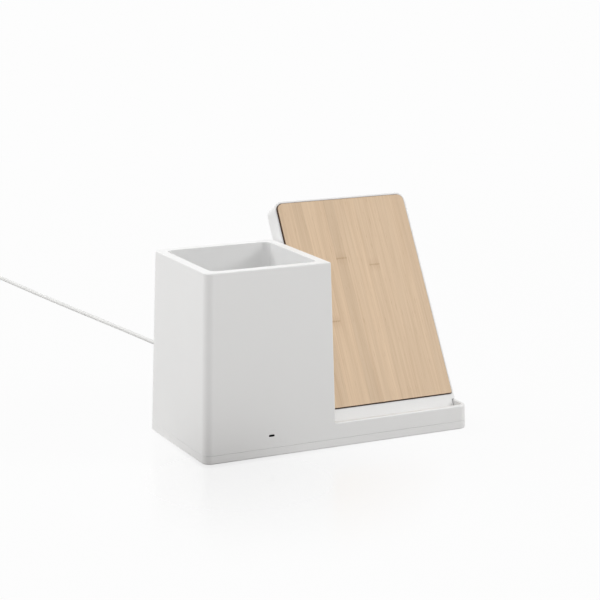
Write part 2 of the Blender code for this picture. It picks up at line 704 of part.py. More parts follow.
def build_cover():
    cover = place("base_cover", cover_blank(), WHITE_SATIN)
    spots = cover_screw_spots()
    boss_top = PLATE_Z + COVER_BOSS_HEIGHT
    bosses = cylinders(COVER_BOSS_RADIUS, SHELL_Z + COVER_PLATE / 2, boss_top, spots, ROUND_STEPS)
    combine(cover, place("cover_bosses", bosses), "UNION")
    post_top = PLATE_Z + BOARD_POST_HEIGHT
    posts = cylinders(BOARD_POST_RADIUS, SHELL_Z + COVER_PLATE / 2, post_top, board_screw_spots())
    combine(cover, place("board_posts", posts), "UNION")
    bore_top = SHELL_Z + COUNTERBORE_DEPTH
    bores = cylinders(SCREW_HEAD_RADIUS + GAP, SHELL_Z - OVERRUN, bore_top, spots)
    combine(cover, place("counterbore_cutter", bores))
    holes = cylinders(SCREW_SHANK_RADIUS + GAP, SHELL_Z - OVERRUN, boss_top + OVERRUN, spots)
    combine(cover, place("cover_hole_cutter", holes))
    pilot_low = PLATE_Z - COVER_PLATE / 2
    pilots = cylinders(BACK_SCREW_SHANK_RADIUS + GAP, pilot_low, BOARD_Z + OVERRUN, board_screw_spots())
    combine(cover, place("post_pilot_cutter", pilots))
    recess_top = FOOT_THICKNESS + GAP
    recesses = cylinders(FOOT_RADIUS + GAP, SHELL_Z - OVERRUN, recess_top, foot_spots(), ROUND_STEPS)
    combine(cover, place("foot_recess_cutter", recesses))

    edge = FOOT_STAND / 2
    rim = FOOT_RADIUS - edge
    profile = ((0, FOOT_THICKNESS), (FOOT_RADIUS, FOOT_THICKNESS), (FOOT_RADIUS, edge), (rim, 0), (0, 0))
    for number, (x, y, _) in enumerate(foot_spots(), start=1):
        foot = turned(f"foot_pad_{number}", profile, ROUND_STEPS, RUBBER)
        foot.location = (x, y, 0)

    head_z = SHELL_Z + COUNTERBORE_DEPTH - GAP
    spots = [(x, y, head_z) for x, y, _ in cover_screw_spots()]
    sizes = (SCREW_SHANK_RADIUS, SCREW_HEAD_RADIUS, SCREW_HEAD_HEIGHT, COVER_SCREW_LENGTH)
    screw_set("cover_screw", sizes, spots)


# Backrest


def backrest_blank():
    low = (BACKREST_LEFT_X, 0, 0)
    high = (BACKREST_RIGHT_X, BACKREST_THICKNESS, BACKREST_REACH)
    bm = block(low, high)
    upper = [edge for edge in edges_along(bm, 1) if edge.verts[0].co.z > BACKREST_REACH / 2]
    round_edges(bm, upper, BACKREST_CORNER, CORNER_STEPS + 1)
    for direction, fillet in (((0, -1, 0), BACKREST_FRONT_FILLET), ((0, 1, 0), BACKREST_REAR_FILLET)):
        outer = face_towards(bm, direction)
        edges = [edge for edge in outer.edges if edge.verts[0].co.z + edge.verts[1].co.z > 0]
        round_edges(bm, edges, fillet, FILLET_STEPS)
    return bm


def plate_outline(growth, front, back):
    """A block of the wooden plate's outline, grown by a clearance, between two depths."""
    low = (BACKREST_LEFT_X + PLATE_RIM - growth, front, PLATE_FOOT_REACH - growth)
    high = (BACKREST_RIGHT_X - PLATE_RIM + growth, back, BACKREST_REACH - PLATE_RIM + growth)
    bm = block(low, high)
    middle = (low[2] + high[2]) / 2
    edges = edges_along(bm, 1)
    upper = [edge for edge in edges if edge.verts[0].co.z > middle]
    lower = [edge for edge in edges if edge.verts[0].co.z < middle]
    round_edges(bm, upper, BACKREST_CORNER - PLATE_RIM + growth, CORNER_STEPS + 1)
    round_edges(bm, [edge for edge in lower if edge.is_valid], PLATE_FOOT_RADIUS + growth, FILLET_STEPS)
    return bm


def rear_cover_outline(inset, front, back):
    """A block of the rear cover's outline, drawn in by a clearance, between two depths."""
    rim = REAR_COVER_RIM + inset
    low = (BACKREST_LEFT_X + rim, front, REAR_COVER_FOOT_REACH + inset)
    high = (BACKREST_RIGHT_X - rim, back, BACKREST_REACH - rim)
    return rounded_block(low, high, BACKREST_CORNER - REAR_COVER_RIM - inset, axis=1)


def back_screw_spots(depth=0.0):
    xs = (BACKREST_LEFT_X + BACK_BOSS_INSET, BACKREST_RIGHT_X - BACK_BOSS_INSET)
    reaches = (REAR_COVER_FOOT_REACH + BACK_BOSS_INSET, BACKREST_REACH - BACK_BOSS_INSET)
    return [(x, depth, reach) for x in xs for reach in reaches]


def build_backrest():
    backrest = place("backrest_housing", backrest_blank(), WHITE_SATIN, BACKREST_AXIS)
    recess = plate_outline(GAP, -OVERRUN, PLATE_RECESS)
    combine(backrest, place("plate_recess_cutter", recess, parent=BACKREST_AXIS))
    rebate = rear_cover_outline(0, COVER_FRONT - GAP, BACKREST_THICKNESS + OVERRUN)
    combine(backrest, place("cover_rebate_cutter", rebate, parent=BACKREST_AXIS))
    hollow = rear_cover_outline(REAR_COVER_LEDGE, PANEL_BACK, COVER_FRONT)
    combine(backrest, place("backrest_room", hollow, parent=BACKREST_AXIS))

    # Bosses stand on the front plate and run through the slab
    spots = back_screw_spots()
    bosses = cylinders(BACK_BOSS_RADIUS, PANEL_BACK - FRONT_PLATE / 2, COVER_FRONT - GAP, spots, axis="Y")
    combine(backrest, place("back_bosses", bosses, parent=BACKREST_AXIS), "UNION")
    pilot_radius = BACK_SCREW_SHANK_RADIUS + GAP
    pilots = cylinders(pilot_radius, PANEL_BACK, BACKREST_THICKNESS, spots, axis="Y")
    combine(backrest, place("back_pilot_cutter", pilots, parent=BACKREST_AXIS))

    # The foot is cut level, and stepped in where it passes inside the right wall
    low = (2 * LEFT_X, FRONT_Y - BODY_DEPTH, SHELL_Z - BODY_DEPTH)
    below = block(low, (2 * RIGHT_X, REAR_Y, CHANNEL_Z + GAP))
    combine(backrest, place("foot_cutter", below))
    step_low = (CHANNEL_RIGHT_X - GAP, FRONT_Y - OVERRUN, SHELL_Z - OVERRUN)
    step = block(step_low, (2 * RIGHT_X, REAR_Y, LIP_Z + GAP))
    combine(backrest, place("step_cutter", step))
    holes = cylinders(LEAD_HOLE_RADIUS, SHELL_Z, LIP_Z + OVERRUN, [lead_hole_spot()])
    combine(backrest, place("backrest_lead_cutter", holes))
    pilot_top = CHANNEL_Z + STAND_SCREW_GRIP - WALL + GAP * 2
    pilots = cylinders(SCREW_SHANK_RADIUS + GAP, SHELL_Z, pilot_top, stand_screw_spots())
    combine(backrest, place("stand_pilot_cutter", pilots))

    front = PLATE_RECESS - GAP - PLATE_THICKNESS
    plate = plate_outline(0, front, PLATE_RECESS - GAP)
    round_edges(plate, list(face_towards(plate, (0, -1, 0)).edges), PLATE_CHAMFER, 1)
    place("bamboo_plate", plate, BAMBOO, BACKREST_AXIS)

    cover = rear_cover_outline(GAP, COVER_FRONT, BACKREST_THICKNESS)
    round_edges(cover, list(face_towards(cover, (0, 1, 0)).edges), REAR_COVER_CHAMFER, 1)
    cover = place("backrest_rear_cover", cover, WHITE_SATIN, BACKREST_AXIS)
    seat_depth = BACKREST_THICKNESS - BACK_SCREW_HEAD_HEIGHT - GAP
    bores = cylinders(BACK_SCREW_HEAD_RADIUS + GAP, seat_depth, BACKREST_THICKNESS + OVERRUN, spots, axis="Y")
    combine(cover, place("back_counterbore_cutter", bores, parent=BACKREST_AXIS))
    holes = cylinders(pilot_radius, PANEL_BACK, BACKREST_THICKNESS + OVERRUN, spots, axis="Y")
    combine(cover, place("back_hole_cutter", holes, parent=BACKREST_AXIS))

    sizes = (BACK_SCREW_SHANK_RADIUS, BACK_SCREW_HEAD_RADIUS, BACK_SCREW_HEAD_HEIGHT, BACK_SCREW_LENGTH)
    forward = (math.radians(90), 0, 0)
    screw_set("backrest_screw", sizes, back_screw_spots(seat_depth + GAP), forward, BACKREST_AXIS)
    sizes = (SCREW_SHANK_RADIUS, SCREW_HEAD_RADIUS, SCREW_HEAD_HEIGHT, STAND_SCREW_GRIP)
    head_z = CHANNEL_Z - WALL - GAP
    screw_set("stand_screw", sizes, [(x, y, head_z) for x, y, _ in stand_screw_spots()])


def build_charger():
    """Winding, ferrite, carrier and thermistor behind the front plate."""
    centre = (BACKREST_MIDDLE_X, 0, COIL_CENTRE_REACH)
    points = []
    for step in range(WINDING_TURNS * ROUND_STEPS + 1):
        angle = math.tau * step / ROUND_STEPS
        radius = WINDING_INNER_RADIUS + WINDING_PITCH * step / ROUND_STEPS
        x = centre[0] + radius * math.cos(angle)
        points.append((x, WINDING_DEPTH, centre[2] + radius * math.sin(angle)))
    x, depth, reach = points[-1]
    points.append((x, depth, reach + WIRE_RADIUS * 2))
    winding = tube("charging_coil", points, WIRE_RADIUS, 1, COPPER)
    winding.parent = BACKREST_AXIS

    def square(side, front, back, radius):
        low = (centre[0] - side / 2, front, centre[2] - side / 2)
        high = (centre[0] + side / 2, back, centre[2] + side / 2)
        return rounded_block(low, high, radius, axis=1, steps=FILLET_STEPS)

    sheet = square(FERRITE_SIDE, FERRITE_DEPTH, FERRITE_DEPTH + FERRITE_THICKNESS, CARRIER_RADIUS / 2)
    place("ferrite_sheet", sheet, FERRITE, BACKREST_AXIS)
    carrier = square(CARRIER_SIDE, PANEL_BACK + GAP, CARRIER_BACK_DEPTH, CARRIER_RADIUS)
    carrier = place("coil_carrier", carrier, GREY_PLASTIC, BACKREST_AXIS)
    inner = CARRIER_SIDE - CARRIER_WALL * 2
    pocket = square(inner, PANEL_BACK - OVERRUN, CARRIER_FLOOR_DEPTH, CARRIER_RADIUS - CARRIER_WALL)
    combine(carrier, place("carrier_pocket_cutter", pocket, parent=BACKREST_AXIS))
    low = (centre[0] - CARRIER_NOTCH / 2, PANEL_BACK - OVERRUN, centre[2] - CARRIER_SIDE)
    high = (centre[0] + CARRIER_NOTCH / 2, CARRIER_FLOOR_DEPTH - GAP, centre[2] - inner / 2 + CARRIER_WALL)
    combine(carrier, place("carrier_notch_cutter", block(low, high), parent=BACKREST_AXIS))
    height = WIRE_RADIUS * 2
    profile = ((0, height), (BEAD_RADIUS / 2, height), (BEAD_RADIUS, height / 2), (BEAD_RADIUS, 0), (0, 0))
    bead = turned("thermistor", profile, SMALL_STEPS, GREY_PLASTIC, BACKREST_AXIS)
    bead.location = (centre[0], PANEL_BACK + GAP, centre[2])
    bead.rotation_euler = (math.radians(-90), 0, 0)


# Circuit board and its components


def component(name, size, spot, material, radius=0.0):
    """A component standing on the board at its (x, y) centre."""
    low = (spot[0] - size[0] / 2, spot[1] - size[1] / 2, PARTS_Z)
    high = (spot[0] + size[0] / 2, spot[1] + size[1] / 2, PARTS_Z + size[2])
    bm = rounded_block(low, high, radius, steps=FILLET_STEPS) if radius else block(low, high)
    return place(name, bm, material)


def lamp_spot():
    return (SLOT_X, BOARD_FRONT_Y + LAMP_SETBACK + LAMP_SIZE[1] / 2)


def connector_spot():
    return (CONNECTOR_X, BOARD_FRONT_Y + CONNECTOR_SIZE[1] / 2)


def build_board():
    low = (BOARD_LEFT_X, BOARD_FRONT_Y, BOARD_Z)
    high = (BOARD_RIGHT_X, BOARD_REAR_Y, BOARD_TOP_Z)
    board = place("circuit_board", rounded_block(low, high, BOARD_RADIUS, steps=FILLET_STEPS), SOLDER_MASK)
    hole_radius = BACK_SCREW_SHANK_RADIUS + GAP
    holes = cylinders(hole_radius, BOARD_Z - OVERRUN, BOARD_TOP_Z + OVERRUN, board_screw_spots())
    combine(board, place("board_hole_cutter", holes))
    sizes = (BACK_SCREW_SHANK_RADIUS, BACK_SCREW_HEAD_RADIUS, BACK_SCREW_HEAD_HEIGHT, BOARD_SCREW_LENGTH)
    spots = [(x, y, PARTS_Z) for x, y, _ in board_screw_spots()]
    screw_set("board_screw", sizes, spots, (math.radians(180), 0, 0))

    length = BOARD_RIGHT_X - BOARD_LEFT_X
    middle_y = (BOARD_FRONT_Y + BOARD_REAR_Y) / 2
    component("coil_connector", CONNECTOR_SIZE, connector_spot(), IVORY_PLASTIC)
    component("controller_chip", CHIP_SIZE, (BOARD_LEFT_X + length * CHIP_SHARE, middle_y), BLACK_PLASTIC)
    inductor_size = (INDUCTOR_SIDE, INDUCTOR_SIDE, INDUCTOR_HEIGHT)
    inductor_x = BOARD_LEFT_X + length * INDUCTOR_SHARE
    component("power_inductor", inductor_size, (inductor_x, middle_y), FERRITE, INDUCTOR_RADIUS)
    for number in range(CAPACITOR_COUNT):
        x = BOARD_LEFT_X + length * CAPACITOR_SHARE + CAPACITOR_PITCH * number
        component(f"filter_capacitor_{number + 1}", CAPACITOR_SIZE, (x, middle_y), CERAMIC)
    component("status_led", LAMP_SIZE, lamp_spot(), IVORY_PLASTIC)
    build_light_pipe()
    build_socket()


def build_light_pipe():
    """A bent pipe: up from the lamp, then forward under the cup's floor to the slot."""
    lamp_y = lamp_spot()[1]
    tip_y = FRONT_Y + draft_inset(SLOT_Z) + WALL + WALL_STEP + GAP * 2
    low_z = SLOT_Z - PIPE_THICKNESS / 2
    high_z = SLOT_Z + PIPE_THICKNESS / 2
    foot_z = PARTS_Z + LAMP_SIZE[2] + GAP
    half = PIPE_THICKNESS / 2
    outline = (
        (tip_y, low_z),
        (lamp_y - half, low_z),
        (lamp_y - half, foot_z),
        (lamp_y + half, foot_z),
        (lamp_y + half, low_z + half / 2),
        (lamp_y - half / 2, high_z),
        (tip_y, high_z),
    )
    bm = bmesh.new()
    verts = [bm.verts.new((SLOT_X - PIPE_WIDTH / 2, y, z)) for y, z in outline]
    side = bm.faces.new(verts)
    moved = bmesh.ops.extrude_face_region(bm, geom=[side])["geom"]
    verts = [item for item in moved if isinstance(item, bmesh.types.BMVert)]
    bmesh.ops.translate(bm, vec=(PIPE_WIDTH, 0, 0), verts=verts)
    place("light_pipe", bm, CLEAR_PLASTIC)


def socket_face_y():
    """The socket's mouth, flush with the rear wall's inner face."""
    return REAR_Y - draft_inset(SOCKET_Z) - WALL - WALL_STEP * 2 - GAP


def centred_block(width, height, near_y, far_y, x, z, radius=0.0):
    """A block along Y round an axis at (x, z)."""
    low = (x - width / 2, near_y, z - height / 2)
    high = (x + width / 2, far_y, z + height / 2)
    return rounded_block(low, high, radius, axis=1, steps=FILLET_STEPS) if radius else block(low, high)


def build_socket():
    face = socket_face_y()
    rear = face - SOCKET_DEPTH - SOCKET_BACK
    shell = centred_block(SOCKET_WIDTH, SOCKET_HEIGHT, rear, face, SOCKET_X, SOCKET_Z, SOCKET_SHELL)
    socket = place("usb_socket", shell, STEEL)
    mouth_width = PLUG_WIDTH + GAP * 2
    mouth_height = PLUG_HEIGHT + GAP * 2
    mouth = centred_block(mouth_width, mouth_height, face - SOCKET_DEPTH, face + OVERRUN, SOCKET_X, SOCKET_Z)
    combine(socket, place("socket_mouth_cutter", mouth))
    root = face - SOCKET_DEPTH - SOCKET_BACK / 2
    tip = face - SOCKET_DEPTH + TONGUE_LENGTH
    tongue = centred_block(TONGUE_WIDTH, TONGUE_THICKNESS, root, tip, SOCKET_X, SOCKET_Z)
    combine(socket, place("socket_tongue", tongue), "UNION")


# Cable


def strain_relief(name, start, direction):
    """A tapered relief with shallow grooves, from a plug's grip to the cord."""
    count = RELIEF_RIBS * 4
    profile = [(0, RELIEF_LENGTH)]
    for number in range(count, -1, -1):
        share = number / count
        radius = RELIEF_RADIUS + (RELIEF_TIP_RADIUS - RELIEF_RADIUS) * share
        groove = RELIEF_GROOVE if number % 4 in (2, 3) else 0
        profile.append((radius - groove, RELIEF_LENGTH * share))
    profile.append((0, 0))
    relief = turned(name, profile, SMALL_STEPS, CORD_WHITE)
    relief.location = start
    relief.rotation_euler = Vector((0, 0, 1)).rotation_difference(Vector(direction)).to_euler()
    return relief


def build_plug():
    """The micro USB plug in its socket."""
    face = socket_face_y()
    tip = face - SOCKET_DEPTH + GAP
    shell = centred_block(PLUG_WIDTH, PLUG_HEIGHT, tip, face, SOCKET_X, SOCKET_Z, PLUG_METAL)
    shell = place("plug_shell", shell, STEEL)
    hollow_width = PLUG_WIDTH - PLUG_METAL * 2
    hollow_height = PLUG_HEIGHT - PLUG_METAL * 2
    hollow_end = face - SOCKET_DEPTH + PLUG_HOLLOW
    hollow_start = face - SOCKET_DEPTH - OVERRUN
    hollow = centred_block(hollow_width, hollow_height, hollow_start, hollow_end, SOCKET_X, SOCKET_Z)
    combine(shell, place("plug_hollow_cutter", hollow))

    shoulder = REAR_Y + GAP
    grip_end = shoulder + GRIP_LENGTH
    grip = centred_block(GRIP_WIDTH, GRIP_HEIGHT, shoulder, grip_end, SOCKET_X, SOCKET_Z)
    round_edges(grip, edges_along(grip, 1), GRIP_RADIUS, FILLET_STEPS + 1)
    round_edges(grip, list(face_towards(grip, (0, 1, 0)).edges), GRIP_RADIUS / 2, FILLET_STEPS)
    grip = place("plug_grip", grip, CORD_WHITE)
    nose_end = shoulder + GRIP_LENGTH / 2
    nose = centred_block(NOSE_WIDTH, NOSE_HEIGHT, face + GAP, nose_end, SOCKET_X, SOCKET_Z, NOSE_RADIUS)
    combine(grip, place("plug_nose", nose), "UNION")
    strain_relief("strain_relief", (SOCKET_X, grip_end + GAP, SOCKET_Z), (0, 1, 0))


def hank_points(start, heading):
    """The wound length: four layers that spiral in and out, climbing where the spiral turns back."""
    half_width = HANK_PITCH * HANK_LAYER_TURNS / 2
    inner = HANK_TURN_RADIUS - half_width
    outer = HANK_TURN_RADIUS + half_width
    heading = Vector((heading[0], heading[1], 0)).normalized()
    lead_in = Vector(start) + heading * CORD_RADIUS * 2
    centre = lead_in + Vector((-heading.y, heading.x, 0)) * outer
    first_angle = math.atan2(-heading.x, heading.y)
    points = [Vector(start)]
    angle = 0.0
    spiral_steps = round(HANK_LAYER_TURNS * HANK_STEPS)
    climb_steps = HANK_STEPS // 2
    for layer in range(HANK_LAYERS):
        inward = layer % 2 == 0
        level = start[2] + HANK_PITCH * layer
        for step in range(spiral_steps + 1):
            share = step / spiral_steps
            radius = outer + (inner - outer) * share if inward else inner + (outer - inner) * share
            turn = first_angle + angle + math.tau * HANK_LAYER_TURNS * share
            out = Vector((math.cos(turn), math.sin(turn), 0)) * radius
            points.append(Vector((centre.x, centre.y, level)) + out)
        angle += math.tau * HANK_LAYER_TURNS
        if layer == HANK_LAYERS - 1:
            break
        for step in range(1, climb_steps):
            share = step / climb_steps
            turn = first_angle + angle + math.pi * share
            radius = inner if inward else outer
            height = level + HANK_PITCH * share
            out = Vector((math.cos(turn), math.sin(turn), 0)) * radius
            points.append(Vector((centre.x, centre.y, height)) + out)
        angle += math.pi
    last = first_angle + angle
    away = Vector((-math.sin(last), math.cos(last), 0))
    points.append(points[-1] + away * CORD_RADIUS * 2)
    return points, centre, away


def least_gap(points, radius):
    """The least clear space between turns, leaving out each point's own neighbours along the tube."""
    points = np.array(points)
    runs = np.concatenate([[0], np.cumsum(np.linalg.norm(np.diff(points, axis=0), axis=1))])
    apart = np.linalg.norm(points[:, None] - points[None], axis=2)
    near = np.abs(runs[:, None] - runs[None]) < HANK_TURN_RADIUS * 2
    apart[near] = np.inf
    return apart.min() - radius * 2


def cord_length(points):
    return float(np.linalg.norm(np.diff(np.array(points), axis=0), axis=1).sum())


def build_cable():
    run = smooth_route(CORD_ROUTE, CORD_SPACING)
    tube("cable_run", run, CORD_RADIUS, 2, CORD_WHITE)
    heading = Vector(run[-1]) - Vector(run[-2])
    heading.z = 0
    heading.normalize()
    start = Vector(run[-1]) + heading * GAP
    wound, centre, away = hank_points(start, heading)
    tube("cable_coil", wound, CORD_RADIUS, 1, CORD_WHITE)
    print("cable_coil least gap to itself, mm:", round(least_gap(wound, CORD_RADIUS) * 1000, 3))

    # The tail comes down to the height of the supply plug's middle
    side = Vector((-away.y, away.x, 0))
    tail_start = wound[-1] + away * GAP
    plug_z = SUPPLY_GRIP_HEIGHT / 2
    drop = plug_z - tail_start.z
    tail = []
    for share, fallen, swayed in TAIL_SHARES:
        sway = side * (TAIL_LENGTH * swayed)
        tail.append(tail_start + away * (TAIL_LENGTH * share) + Vector((0, 0, drop * fallen)) - sway)
    tail = smooth_route(tail, CORD_SPACING / 2)
    tube("cable_tail", tail, CORD_RADIUS, 2, CORD_WHITE)
    length = cord_length(run) + cord_length(wound) + cord_length(tail)
    print("cord length, mm:", round(length * 1000, 1))

    relief_start = Vector(tail[-1]) + away * (RELIEF_LENGTH + GAP)
    strain_relief("supply_strain_relief", relief_start, -away)
    build_supply_plug(relief_start + away * GAP, away)
    build_tie(centre, wound[0].z)


def build_tie(centre, low_z):
    """A flat tie round the wound length, across from where the layers climb."""
    half = HANK_PITCH * HANK_LAYER_TURNS / 2 + CORD_RADIUS + TIE_CLEARANCE
    low = Vector((-TIE_WIDTH / 2, HANK_TURN_RADIUS - half, low_z - CORD_RADIUS - TIE_CLEARANCE))
    high_z = low_z + HANK_PITCH * (HANK_LAYERS - 1) + CORD_RADIUS + TIE_CLEARANCE
    high = Vector((TIE_WIDTH / 2, HANK_TURN_RADIUS + half, high_z))
    thick = Vector((0, TIE_THICKNESS, TIE_THICKNESS))
    outer_radius = TIE_RADIUS + TIE_THICKNESS
    outer = rounded_block(low - thick, high + thick, outer_radius, axis=0, steps=FILLET_STEPS)
    tie = place("cable_tie", outer, BLACK_FABRIC)
    over = Vector((OVERRUN, 0, 0))
    inner = rounded_block(low - over, high + over, TIE_RADIUS, axis=0, steps=FILLET_STEPS)
    inner = place("tie_cutter", inner)
    for thing in (tie, inner):
        thing.location = (centre.x, centre.y, 0)
    combine(tie, inner)


def build_supply_plug(start, away):
    """The plug for the power supply, lying on the table with its metal shell pointing away from the cord."""
    turn = math.atan2(-away.x, away.y)
    grip = centred_block(SUPPLY_GRIP_WIDTH, SUPPLY_GRIP_HEIGHT, 0, SUPPLY_GRIP_LENGTH, 0, 0)
    round_edges(grip, edges_along(grip, 1), GRIP_RADIUS, FILLET_STEPS)
    round_edges(grip, list(face_towards(grip, (0, -1, 0)).edges), GRIP_RADIUS / 2, FILLET_STEPS)
    shell_start = SUPPLY_GRIP_LENGTH + GAP
    shell_end = shell_start + SUPPLY_SHELL_LENGTH
    sides = (SUPPLY_SHELL_WIDTH, SUPPLY_SHELL_HEIGHT)
    shell = centred_block(*sides, shell_start, shell_end, 0, 0, SUPPLY_SHELL_METAL)
    width = SUPPLY_SHELL_WIDTH - SUPPLY_SHELL_METAL * 2
    height = SUPPLY_SHELL_HEIGHT - SUPPLY_SHELL_METAL * 2
    low = (-width / 2, shell_end - SUPPLY_HOLLOW, SUPPLY_TONGUE_HEIGHT - height / 2)
    hollow = block(low, (width / 2, shell_end + OVERRUN, height / 2))
    things = [
        place("supply_plug_grip", grip, CORD_WHITE),
        place("supply_plug_shell", shell, STEEL),
        place("supply_hollow_cutter", hollow),
    ]
    for thing in things:
        thing.location = (start.x, start.y, start.z)
        thing.rotation_euler = (0, 0, turn)
    combine(things[1], things[2])


def build_coil_lead():
    """The lead from the winding down through the backrest's foot and back to the board's connector."""
    x, hole_y, _ = lead_hole_spot()
    depth = (PANEL_BACK + COVER_FRONT) / 2
    start_reach = COIL_CENTRE_REACH - CARRIER_SIDE / 2 - GAP
    end_x, end_y = connector_spot()
    end_y -= CONNECTOR_SIZE[1] / 2 + GAP
    end_z = PARTS_Z + CONNECTOR_SIZE[2] / 2
    low_z = (PLATE_Z + CHANNEL_Z - WALL) / 2
    foot_reach = REAR_COVER_FOOT_REACH + REAR_COVER_LEDGE
    step = LEAD_RADIUS * 4
    route = (
        backrest_point(x, depth, start_reach),
        backrest_point(x, depth, start_reach - step),
        backrest_point(x, depth, (start_reach * 2 + foot_reach) / 3),
        backrest_point(x, depth, foot_reach + step),
        Vector((x, hole_y, LIP_Z)),
        Vector((x, hole_y, CHANNEL_Z)),
        Vector((x, hole_y, CHANNEL_Z - WALL)),
        Vector((x, hole_y + step * 0.6, low_z)),
        Vector((x + (end_x - x) * 0.25, hole_y + step * 2, low_z)),
        Vector((x + (end_x - x) * 0.8, end_y - step * 2.2, low_z)),
        Vector((end_x, end_y - step * 1.2, (low_z + end_z) / 2)),
        Vector((end_x, end_y - step * 0.4, end_z)),
        Vector((end_x, end_y, end_z)),
    )
    tube("coil_lead", smooth_route(route, LEAD_RADIUS * 2.4), LEAD_RADIUS, 1, BLACK_PLASTIC)


clear_scene()
PARTS = new_collection("wireless_charger_pen_holder")
CUTTERS = new_collection("cutters")
WHITE_SATIN = finish("white_satin_abs", (0.83, 0.83, 0.82), 0.38)
RUBBER = finish("rubber", (0.3, 0.3, 0.3), 0.8)
STEEL = finish("plated_steel", (0.7, 0.7, 0.71), 0.3, 1.0)
BAMBOO = finish("bamboo", (0.66, 0.46, 0.27), 0.5)
COPPER = finish("enamelled_copper", (0.72, 0.34, 0.16), 0.35, 1.0)
FERRITE = finish("ferrite", (0.06, 0.06, 0.065), 0.6)
GREY_PLASTIC = finish("grey_plastic", (0.35, 0.35, 0.36), 0.5)
BLACK_PLASTIC = finish("black_plastic", (0.03, 0.03, 0.03), 0.5)
IVORY_PLASTIC = finish("ivory_plastic", (0.8, 0.77, 0.66), 0.45)
CLEAR_PLASTIC = finish("light_pipe_acrylic", (0.9, 0.9, 0.92), 0.1)
CERAMIC = finish("capacitor_ceramic", (0.55, 0.42, 0.3), 0.5)
SOLDER_MASK = finish("solder_mask", (0.02, 0.18, 0.08), 0.4)
CORD_WHITE = finish("white_soft_jacket", (0.8, 0.8, 0.79), 0.5)
BLACK_FABRIC = finish("tie_fabric", (0.04, 0.04, 0.04), 0.9)
BACKREST_AXIS = bpy.data.objects.new("backrest_axis", None)
PARTS.objects.link(BACKREST_AXIS)
BACKREST_AXIS.location = (0, BACKREST_Y, SHELL_Z)
BACKREST_AXIS.rotation_euler = (-LEAN, 0, 0)

build_housing()
build_cover()
build_backrest()
build_charger()
build_coil_lead()
build_board()
build_plug()
build_cable()
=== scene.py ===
"""Studio scene of a desk pen holder with a wireless charging backrest.

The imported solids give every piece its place. This script dresses them: it softens the mouldings' edges,
models the small pieces again in full, lays the cable on its route, gives each piece its finish, and sets up
the floor, the lamps and the camera. Lengths are in metres and angles in degrees.
"""

from __future__ import annotations

import json
import logging
import math
from collections.abc import Callable, Iterable, Sequence
from dataclasses import dataclass, field
from enum import Enum

import bmesh
import bpy
from mathutils import Matrix, Vector

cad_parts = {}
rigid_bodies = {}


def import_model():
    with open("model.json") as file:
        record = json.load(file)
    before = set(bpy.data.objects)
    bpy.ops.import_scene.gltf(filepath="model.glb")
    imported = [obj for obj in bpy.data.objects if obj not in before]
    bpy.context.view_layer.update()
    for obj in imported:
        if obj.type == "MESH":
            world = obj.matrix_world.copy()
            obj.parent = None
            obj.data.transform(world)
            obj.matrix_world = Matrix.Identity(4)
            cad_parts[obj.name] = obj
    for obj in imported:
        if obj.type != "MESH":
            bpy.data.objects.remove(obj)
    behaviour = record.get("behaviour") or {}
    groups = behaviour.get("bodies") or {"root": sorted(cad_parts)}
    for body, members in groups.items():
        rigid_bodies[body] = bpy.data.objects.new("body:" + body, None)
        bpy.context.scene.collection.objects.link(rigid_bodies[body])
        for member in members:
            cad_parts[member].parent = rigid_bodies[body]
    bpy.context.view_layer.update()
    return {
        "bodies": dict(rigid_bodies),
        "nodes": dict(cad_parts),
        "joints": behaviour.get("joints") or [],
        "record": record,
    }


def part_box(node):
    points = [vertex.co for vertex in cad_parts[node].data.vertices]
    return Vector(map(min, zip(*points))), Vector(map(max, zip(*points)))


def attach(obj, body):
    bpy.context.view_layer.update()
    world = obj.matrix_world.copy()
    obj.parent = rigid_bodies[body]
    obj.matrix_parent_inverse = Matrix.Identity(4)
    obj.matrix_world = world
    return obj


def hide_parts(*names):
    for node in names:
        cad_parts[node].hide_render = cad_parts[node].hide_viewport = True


LOG = logging.getLogger("pen_holder")

Colour = tuple[float, float, float]
Point = tuple[float, float, float]
Edge = bmesh.types.BMEdge
Face = bmesh.types.BMFace
Material = bpy.types.Material
Node = bpy.types.Node
Socket = bpy.types.NodeSocket
Thing = bpy.types.Object

MERGE_DISTANCE = 0.000001
FLAT_ANGLE = 0.3
SHARP_ANGLE = 35.0
LEVEL = 0.99
PARALLEL = 0.999
GAP = 0.0003
NOISE_SPAN = (0.3, 0.7)
UP = Vector((0, 0, 1))
DOWN = Vector((0, 0, -1))
WHITE = (1.0, 1.0, 1.0)
BLACK = (0.0, 0.0, 0.0)


class Body(Enum):
    """The two rigid bodies that pieces ride on."""

    HOLDER = "holder"
    CABLE = "cable"


# Node trees


